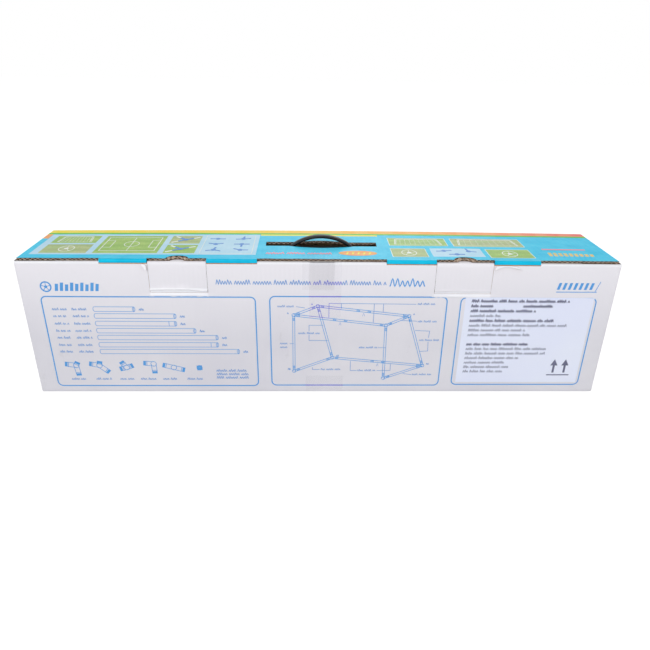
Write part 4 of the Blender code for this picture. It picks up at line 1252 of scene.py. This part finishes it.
def make_tube_list():
    """The drawn list of tubes: seven outlines, some with a swaged end, with scribbled labels."""
    dice = random.Random(5)
    lines, labels = bmesh.new(), bmesh.new()
    half = 0.0041
    start = -0.365
    for centre, end, swaged in (
        (0.1555, -0.2985, 0), (0.1434, -0.2343, 0), (0.1300, -0.2343, 1), (0.1172, -0.2043, 0),
        (0.1048, -0.1690, 0), (0.0915, -0.1692, 1), (0.0790, -0.1352, 0),
    ):
        mouth = end - 0.002
        shape = oval(start + 0.0022, centre, 0.0022, half, 10, 90, 270)
        stroke(lines, [*shape, (mouth, centre - half), (mouth, centre + half), shape[0]], THIN_LINE)
        stroke(lines, oval(mouth, centre, 0.0020, half, 14), THIN_LINE, closed=True)
        if swaged:
            stroke(lines, [(end - 0.0125, centre - half), (end - 0.0125, centre + half)], THIN_LINE)
        for left, right, line, word in (
            (-0.430, -0.405, THIN_LINE, (2, 4)), (-0.399, -0.373, THIN_LINE, (3, 5)),
            (end + 0.006, end + 0.0145, PIPE_LINE, (3, 3)),
        ):
            scribble(labels, left, right, centre - 0.0022, 0.0042, 0.0026, line, dice, word)
    for centre in (-0.4070, -0.3660, -0.3260, -0.2915, -0.2540, -0.2130):
        scribble(labels, centre - 0.013, centre + 0.014, 0.0245, 0.0040, 0.0026, THIN_LINE, dice, (3, 5))
    for i in range(3):
        scribble(labels, -0.176, -0.122, 0.0405 - 0.0068 * i, 0.0046, 0.0030, 0.0009, dice, (4, 7))
    front_print("tube_list_print", lines, BLUE_INK)
    front_print("tube_label_print", labels, SMALL_INK)


def make_joint_icons():
    """Six small drawings of the joints; each arm is an angle and a length."""
    work = bmesh.new()
    for x, z, *arms in (
        (-0.4085, 0.0525, (172, 0.0185), (-84, 0.0200), (62, 0.0075)),
        (-0.3700, 0.0525, (168, 0.0170), (-42, 0.0200), (80, 0.0085)),
        (-0.3255, 0.0485, (195, 0.0120), (125, 0.0140), (20, 0.0120)),
        (-0.2800, 0.0555, (175, 0.0170), (-88, 0.0185)),
        (-0.2470, 0.0485, (165, 0.0190), (-15, 0.0190)),
        (-0.2040, 0.0480, (95, 0.0045), (-85, 0.0045)),
    ):
        for angle, length in arms:
            run = heading(angle)
            tip = Vector((x, z)) + length * run
            pipe(work, [(x, z), tip], 0.0080, PIPE_LINE)
            stroke(work, [tip, tip - run * 0.0044], 0.0086)
            tick(work, tip - run * 0.0060, run, 0.0047, PIPE_LINE)
        stroke(work, oval(x, z, 0.0046, 0.0046, 14), PIPE_LINE, closed=True)
    front_print("joint_icon_print", work, BLUE_INK)


def make_goal_drawing():
    """A line drawing of the standing goal frame, with its measure lines."""
    lines, notes = bmesh.new(), bmesh.new()
    dice = random.Random(8)
    corners = {name: Vector(place) * MILLIMETRE for name, place in GOAL_CORNERS.items()}
    for names in GOAL_PIPES:
        a, b = (corners[name] for name in names)
        length = (b - a).length
        run = (b - a).normalized()
        pipe(lines, [a, b], 0.0034, PIPE_LINE)
        ticks = [reach for near in (0.0055, 0.0075, 0.0095) for reach in (near, length - near)]
        if length > LONG_PIPE:
            ticks += [length / 2 + offset for offset in (-0.011, -0.009, -0.007, 0.007, 0.009, 0.011)]
            x, z = (a + b) / 2
            stroke(notes, [(x - 0.0018, z - 0.009), (x, z - 0.0035), (x + 0.0018, z - 0.009)], 0.0006)
        for reach in ticks:
            tick(lines, a + run * reach, run, 0.0023, 0.0012)
    for x, z in corners.values():
        stroke(lines, oval(x, z, 0.0030, 0.0030, 12), THIN_LINE, closed=True)
        middle = x + (0.0085 if x > 0 else -0.0085)
        scribble(notes, middle - 0.002, middle + 0.003, z + 0.002, 0.0034, 0.0022, THIN_LINE, dice, (1, 2))
    for area in GOAL_LABELS:
        left, right, base = (place * MILLIMETRE for place in area)
        scribble(notes, left, right, base, 0.0034, 0.0024, 0.0007, dice, (3, 5))
    for path in GOAL_LEADERS:
        stroke(notes, [(x * MILLIMETRE, z * MILLIMETRE) for x, z in path], THIN_LINE)
    front_print("goal_drawing_print", lines, BLUE_INK)
    front_print("goal_note_print", notes, SMALL_INK)


def make_label():
    """The paper label, with scribbled lines and a plain pair of arrows."""
    low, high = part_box("label_sticker")

    def place(u, v, w):
        lift = max(0.0, 1 - math.hypot(high.x - u, high.z - v) / 0.022) ** 2 * LABEL_LIFT
        ripple = 0.00012 * (1 + uneven(u * 30, v * 30, 6.1))
        return on_front(u, v, w + lift + ripple)

    work = sheet(low.x, high.x, low.z, high.z, 0.00012, 0.00030, 0.009, 0.009)
    piece("paper_label", work, place, [LABEL], PAPER_LABEL, ["label_sticker"], 60)

    dice = random.Random(21)
    text, bold = bmesh.new(), bmesh.new()
    left = low.x + LABEL_MARGIN
    for row, length, heavy in (
        (0, 0.160, 1), (1, 0.040, 1), (2, 0.108, 1), (3, 0.055, 0), (4, 0.140, 1), (5, 0.165, 0),
        (6, 0.096, 0), (7, 0.105, 0), (9, 0.104, 1), (10, 0.138, 0), (11, 0.136, 0), (12, 0.094, 0),
        (13, 0.074, 0), (14, 0.078, 0), (15, 0.068, 0),
    ):
        base = high.z - LABEL_FIRST_LINE - LABEL_LINE_PITCH * row
        target, line = (bold, 0.0014) if heavy else (text, 0.0008)
        scribble(target, left, left + length, base, 0.0050, 0.0030, line, dice, (3, 9))
        if row == 1:
            scribble(bold, left + 0.085, left + 0.137, base, 0.0050, 0.0030, 0.0014, dice, (16, 16))
    for x in (low.x + 0.166, low.x + 0.185):
        stroke(bold, [(x, low.z + 0.019), (x, low.z + 0.034)], 0.0036)
        patch(bold, [(x - 0.0062, low.z + 0.033), (x + 0.0062, low.z + 0.033), (x, low.z + 0.045)])
    stroke(bold, [(low.x + 0.156, low.z + 0.0145), (low.x + 0.195, low.z + 0.0145)], 0.0020)
    for name, shape in (("label_fine_print", text), ("label_bold_print", bold)):
        piece(name, shape, lambda u, v, w: place(u, v, w + 0.00034), [DARK_INK], PAPER_LABEL)


def make_tape():
    """The lapped strips on the front wall, the end of the bottom's tape, and the slit end on the lid."""

    def down(u, v, w):
        ripple = 0.00010 * (1 + uneven(u * 70, v * 25, 1.9))
        wall = wall_rounded(u, min(v, WALL_TOP), BOARD)
        return on_front(u, v, w + 0.00032 + ripple + wall - BOARD)

    ends = [TAPE_TOP - place for place in FOLD_STATIONS]
    for name, area, lift, replaced in (
        ("front_tape", TOP_STRIP, 0.0, ["tape_front"]),
        ("front_tape_second", SECOND_STRIP, 0.00018, ()),
        ("bottom_tape", BOTTOM_STRIP, 0.0, ["tape_bottom"]),
    ):
        strip = sheet(*area, lift, lift + 0.0001, 0.005, 0.006, ends)
        piece(name, strip, down, [TAPE], PACKING_TAPE, replaced, 60)

    path = [(0.0012, -0.0046), (0.0018, -0.0030), (0.0030, -0.0012), (0.0046, -0.0002), (0.0060, 0.00012)]
    path += [(0.010 + 0.006 * i, 0.00015) for i in range(4)]
    strip = bmesh.new()
    rows = []
    for u in stations(TOP_TAPE_LOW.x, TOP_TAPE_HIGH.x, 0.005):
        curve = [*path, (0.034 + 0.0012 * uneven(u * 240, 0.7, 3.1), 0.00015)]
        ring = [(v, w + 0.00012) for v, w in curve] + [(v, w + 0.00022) for v, w in reversed(curve)]
        rows.append([strip.verts.new((u, v, w)) for v, w in ring])
    loft(strip, rows)
    piece("lid_tape", strip, on_lid, [TAPE], ("lid", "packing_tape"), ["tape_lid"], 60)


def shrunk(area, left, right, front, back):
    """An area drawn in by that much at each side."""
    return area[0] + left, area[1] - right, area[2] + front, area[3] - back


def draw_pitch(work, area):
    """A plain pitch seen from above, across its width."""
    left, right, front, back = shrunk(area, 0.007, 0.007, 0.012, 0.010)
    middle, half = (left + right) / 2, (front + back) / 2
    stroke(work, box_outline(left, right, front, back), 0.0014, closed=True)
    stroke(work, [(middle, front), (middle, back)], 0.0012)
    stroke(work, oval(middle, half, 0.012, 0.013, 24), 0.0012, closed=True)
    for edge, inner in ((left, left + 0.013), (right, right - 0.013)):
        low, high = half - 0.017, half + 0.017
        stroke(work, [(edge, low), (inner, low), (inner, high), (edge, high)], 0.0012)


def draw_goal(work, area):
    """A goal with its net, standing on the picture's ground."""
    left, right, front, back = shrunk(area, 0.010, 0.010, 0.006, 0.005)
    top_left, top_right = left + 0.004, right - 0.004
    pipe(work, [(left, front), (top_left, back), (top_right, back), (right, front)], 0.0022, 0.0012)
    stroke(work, [(left, front), (right, front)], 0.0008)
    for share in (i / 9 for i in range(1, 9)):
        foot = left + (right - left) * share
        stroke(work, [(foot, front), (top_left + (top_right - top_left) * share, back)], 0.0004)
    for i in range(1, 5):
        v = front + (back - front) * i / 5
        stroke(work, [(left + 0.0008 * i, v), (right - 0.0008 * i, v)], 0.0004)


def draw_joint(white, blue, area):
    """A joint with the ends of three tubes."""
    left, right, front, back = area
    middle = Vector((left + right, front + back)) / 2
    for tip in ((left + 0.003, front + 0.006), (right - 0.003, back - 0.008), (left + 0.006, back - 0.004)):
        stroke(white, [middle, tip], 0.0040)
        stroke(blue, [middle, middle.lerp(Vector(tip), 0.55)], 0.0046, lift=0.0001)
    patch(blue, oval(*middle, 0.0044, 0.0050, 12), 0.0002)


def make_lid_drawings():
    """Plain pitch markings, goals, balls, joints and bars on the lid."""
    white, blue, warm, badge, bars, gold = (bmesh.new() for _ in range(6))
    areas = {name: area for name, (area, _) in PICTURES.items()}
    draw_pitch(white, areas["pitch"])
    for name in ("far_goal", "near_goal", "wide_goal"):
        draw_goal(white, areas[name])
    for name in ("left_ball", "middle_ball", "right_ball"):
        left, right, front, back = areas[name]
        rim, core = (0.0120, 0.0135, 26), (0.0042, 0.0048)
        ball(white, (left + right) / 2, (front + back) / 2, rim, core, 0.0045, 0.0115, 1.12, (0.0014, 0.0010))
    for name in ("back_joint", "front_joint"):
        draw_joint(white, blue, areas[name])
    for name in ("near_goal", "wide_goal", "middle_ball", "right_ball"):
        stroke(white, box_outline(*areas[name]), 0.0010, closed=True)
    stroke(white, box_outline(-0.1950, -0.1120, 0.0290, 0.1180), 0.0009, closed=True)
    for x, y, *turns in (
        (-0.175, 0.103, 0, 180), (-0.132, 0.103, 10, 190, 85), (-0.175, 0.075, 160, 20),
        (-0.132, 0.075, 0, 180, 270), (-0.175, 0.046, 200, -25, 80), (-0.132, 0.046, 150, 0),
        (0.200, 0.048, 8, 188), (0.240, 0.046, -10, 100), (0.218, 0.031, 0, 180),
    ):
        for turn in turns:
            stroke(blue, [(x, y), Vector((x, y)) + heading(turn) * 0.013], 0.0034)
        patch(blue, oval(x, y, 0.0042, 0.0048, 12), 0.00002)
    scribble(warm, -0.089, 0.016, 0.0270, 0.0085, 0.0048, 0.0018, random.Random(3), (5, 8))
    patch(warm, box_outline(0.366, 0.439, 0.0585, 0.0635))
    patch(badge, oval(0.058, 0.0335, 0.031, 0.0118, 36))
    for i in range(5):
        stroke(bars, [(0.040 + i * 0.009, 0.0285), (0.0425 + i * 0.009, 0.0385)], 0.0028, lift=0.0001)
    for i in range(9):
        bar(gold, 0.368 + i * 0.0084, 0.0270, 0.0056, 0.0175 - 0.0008 * i, 0.0018)
    for name, work, material in (
        ("lid_white_print", white, LINE_WHITE), ("lid_blue_print", blue, ICON_BLUE),
        ("lid_salmon_print", warm, SALMON), ("lid_badge_print", badge, ORANGE),
        ("lid_badge_bars", bars, YELLOW_LINE), ("lid_gold_print", gold, GOLD),
    ):
        lid_print(name, work, material)


def make_torn_paper():
    """Two small flakes of torn liner at the press tabs' tops."""
    work = bmesh.new()
    for outline in (
        [
            (0.2720, 0.2242), (0.2752, 0.2272), (0.2800, 0.2288), (0.2880, 0.2301), (0.2990, 0.2297),
            (0.3070, 0.2281), (0.3155, 0.2268), (0.3125, 0.2288), (0.3060, 0.2306), (0.2960, 0.2317),
            (0.2840, 0.2319), (0.2760, 0.2311), (0.2722, 0.2292),
        ],
        [
            (-0.2800, 0.2300), (-0.2765, 0.2272), (-0.2738, 0.2230), (-0.2718, 0.2238), (-0.2722, 0.2290),
            (-0.2750, 0.2312), (-0.2790, 0.2318),
        ],
    ):
        prism(work, outline, 0.0001, 0.0007, (0, 1, 1))

    def place(u, v, w):
        return on_front(u, v, w + FLAKE_CURL * (1 - window(v, 0.2262, 0.2370, 0.006)))

    # The flakes' tops take the paler liner, a painted highlight; their undersides and sides are torn brown
    # board.
    piece("torn_flakes", work, place, [PAINTED_HIGHLIGHT_LINER, TORN], CARTON, smooth_below=40)


# Kit inside


def make_kit_materials():
    for name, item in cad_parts.items():
        tube = "tube" in name
        if tube or any(word in name for word in ("corner", "elbow", "straight_joint")):
            for place in item.material_slots:
                place.material = POWDER if tube else JOINT_BLUE


def soft_block(node, cells, swell):
    """A full soft block in a node's box, as a closed grid mesh: a cube pushed towards a rounded form."""
    low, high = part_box(node)
    work = bmesh.new()
    bmesh.ops.create_cube(work, size=2)
    bmesh.ops.subdivide_edges(work, edges=work.edges, cuts=cells, use_grid_fill=True)
    for vert in work.verts:
        place = vert.co / sum(abs(part) ** 5 for part in vert.co) ** 0.2
        vert.co = place * (high - low) / 2 * swell(place) + (low + high) / 2
    return work


def make_net():
    """The folded net: a bundle of layers, a cord mesh over it, and two ties."""

    def layers(place):
        folds = 0.5 + 0.5 * math.cos(place.z * 5 * math.pi)
        return 0.955 - 0.028 * (1 - abs(place.z) ** 3) * folds + 0.018 * uneven(*(place * 3))

    core = soft_block("folded_net", 30, layers)
    piece("net_bundle", core, None, [NET_DARK], NET, ["folded_net"], 180)

    knots = soft_block("folded_net", 15, lambda place: layers(place) * 1.012)
    bmesh.ops.poke(knots, faces=knots.faces)
    sides = [edge for edge in knots.edges if all(len(vert.link_edges) != 4 for vert in edge.verts)]
    bmesh.ops.dissolve_edges(knots, edges=sides, use_verts=False)
    wire = piece("net_cords", knots, None, [TWINE], NET, smooth_below=60).modifiers.new("cords", "WIREFRAME")
    wire.thickness = NET_CORD
    wire.use_even_offset = False

    low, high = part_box("folded_net")
    for i, share in enumerate((-0.27, 0.27)):
        path = []
        for y, z in (*oval(0, 0, 1, 1, 48), (1, 0)):
            reach = 0.487 / (abs(y) ** 5 + abs(z) ** 5) ** 0.2
            path.append((low + high) / 2 + (high - low) * Vector((share, y * reach, z * reach)))
        tie = swept_band(path, oval(0, 0, NET_TIE, NET_TIE, 6, 90, 450), Vector((1, 0, 0)))
        piece(f"net_tie_{i}", tie, None, [RUBBER], NET, smooth_below=60)


def make_sleeve_bag():
    """A clear bag full of short rubber sleeves."""
    low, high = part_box("sleeve_bag")
    dice = random.Random(4)
    sleeves = bmesh.new()
    for ix, iy, iz in ((ix, iy, iz) for iz in range(2) for iy in range(5) for ix in range(3)):
        x = (ix - 1) * SLEEVE_PITCH + dice.uniform(-0.001, 0.001)
        y = (iy - 2) * SLEEVE_PITCH + dice.uniform(-0.001, 0.001)
        spot = (low + high) / 2 + Vector((x, y, (iz - 0.5) * SLEEVE_LAYER))
        tilt, lean = (Matrix.Rotation(dice.uniform(-0.5, 0.5), 3, axis) for axis in "XY")
        rows = []
        for radius, height in box_outline(SLEEVE_OUTSIDE, SLEEVE_INSIDE, SLEEVE_HALF, -SLEEVE_HALF):
            ring = oval(0, 0, radius, radius, 16)
            rows.append([sleeves.verts.new(spot + tilt @ lean @ Vector((a, b, height))) for a, b in ring])
        loft(sleeves, rows, closed=True)
    piece("rubber_sleeves", sleeves, None, [RUBBER], SLEEVE_BAG, ["sleeve_bag"], 40)

    def crinkle(place):
        return 0.975 + 0.022 * uneven(*(place * 6 + Vector((0, 0, 4))))

    work = soft_block("sleeve_bag", 22, crinkle)
    bag = piece("sleeve_bag_film", work, None, [BAG], SLEEVE_BAG, smooth_below=180)
    film = bag.modifiers.new("film", "SOLIDIFY")
    film.thickness = BAG_FILM
    film.offset = -1


# Stage


def seen_rays(made):
    """1 for rays that the camera, a gloss or a clear film looks along."""
    seen = 0.0
    for kind in ("Camera", "Glossy", "Transmission"):
        ray = made.node("LightPath", f"Is {kind} Ray", {})
        seen = made.node("Math", 0, {0: seen, 1: ray}, operation="MAXIMUM")
    return seen


def make_floor():
    work = bmesh.new()
    work.faces.new([work.verts.new((x, y, -0.0002)) for x, y in box_outline(-9, 9, -9, 9)])
    floor = stood("floor", work)
    white = bpy.data.materials.new("floor_white")
    made = Nodes(white)
    made.tree.nodes.clear()
    plain = made.node("BsdfDiffuse", 0, {"Color": (0.52, 0.52, 0.52, 1)})
    faint = made.node("BsdfDiffuse", 0, {"Color": (0.24, 0.24, 0.24, 1)})
    glow = made.node("Emission", 0, {"Color": (1, 1, 1, 1), "Strength": 0.905})
    seen = made.node("AddShader", 0, {0: glow, 1: faint})
    chosen = made.node("MixShader", 0, {0: seen_rays(made), 1: plain, 2: seen})
    made.feed(made.tree.nodes.new("ShaderNodeOutputMaterial").inputs["Surface"], chosen)
    floor.data.materials.append(white)


def make_world():
    world = bpy.data.worlds.new("studio")
    bpy.context.scene.world = world
    made = Nodes(world)
    back = made.tree.nodes["Background"]
    made.feed(back.inputs["Color"], (1, 1, 1, 1))
    strength = made.node("MapRange", "Result", {"Value": seen_rays(made), "To Min": 0.42})
    made.feed(back.inputs["Strength"], strength)


def make_lights():
    for name, place, aim, size, power in (
        ("key_light", (-0.9, -3.0, 2.0), (0, 0, 0.1), 2.2, 64),
        ("fill_light", (2.2, -2.2, 1.3), (0, 0, 0.1), 2.0, 17),
        ("back_light", (0.3, 2.4, 1.9), (0, 0, 0.12), 2.0, 26),
    ):
        data = bpy.data.lights.new(name, "AREA")
        data.shape = "DISK"
        data.size = size
        data.energy = power
        lamp = bpy.data.objects.new(name, data)
        lamp.location = place
        lamp.rotation_euler = (Vector(aim) - Vector(place)).to_track_quat("-Z", "Y").to_euler()
        bpy.context.scene.collection.objects.link(lamp)


def make_camera():
    data = bpy.data.cameras.new("camera")
    data.sensor_width = SENSOR
    data.lens = FOCAL_PIXELS / PHOTO_PIXELS * SENSOR
    data.clip_start = 0.01
    camera = bpy.data.objects.new("camera", data)
    place = Matrix.Translation(CAMERA_PLACE)
    for degrees, axis in CAMERA_TURNS:
        place = place @ Matrix.Rotation(math.radians(degrees), 4, axis)
    camera.matrix_world = place
    bpy.context.scene.collection.objects.link(camera)
    bpy.context.scene.camera = camera


for make in (
    make_camera, make_world, make_lights, make_floor, make_front_wall, make_back_wall, make_bottom,
    make_ends, make_ledge, make_tabs, make_lid, make_frayed_edges, make_tongues, make_ears, make_handle,
    make_front_frames, make_front_emblem, make_slogan, make_tube_list, make_joint_icons,
    make_goal_drawing, make_label, make_tape, make_lid_drawings, make_torn_paper, make_kit_materials,
    make_net, make_sleeve_bag,
):
    make()
bpy.context.scene.view_settings.view_transform = "Standard"
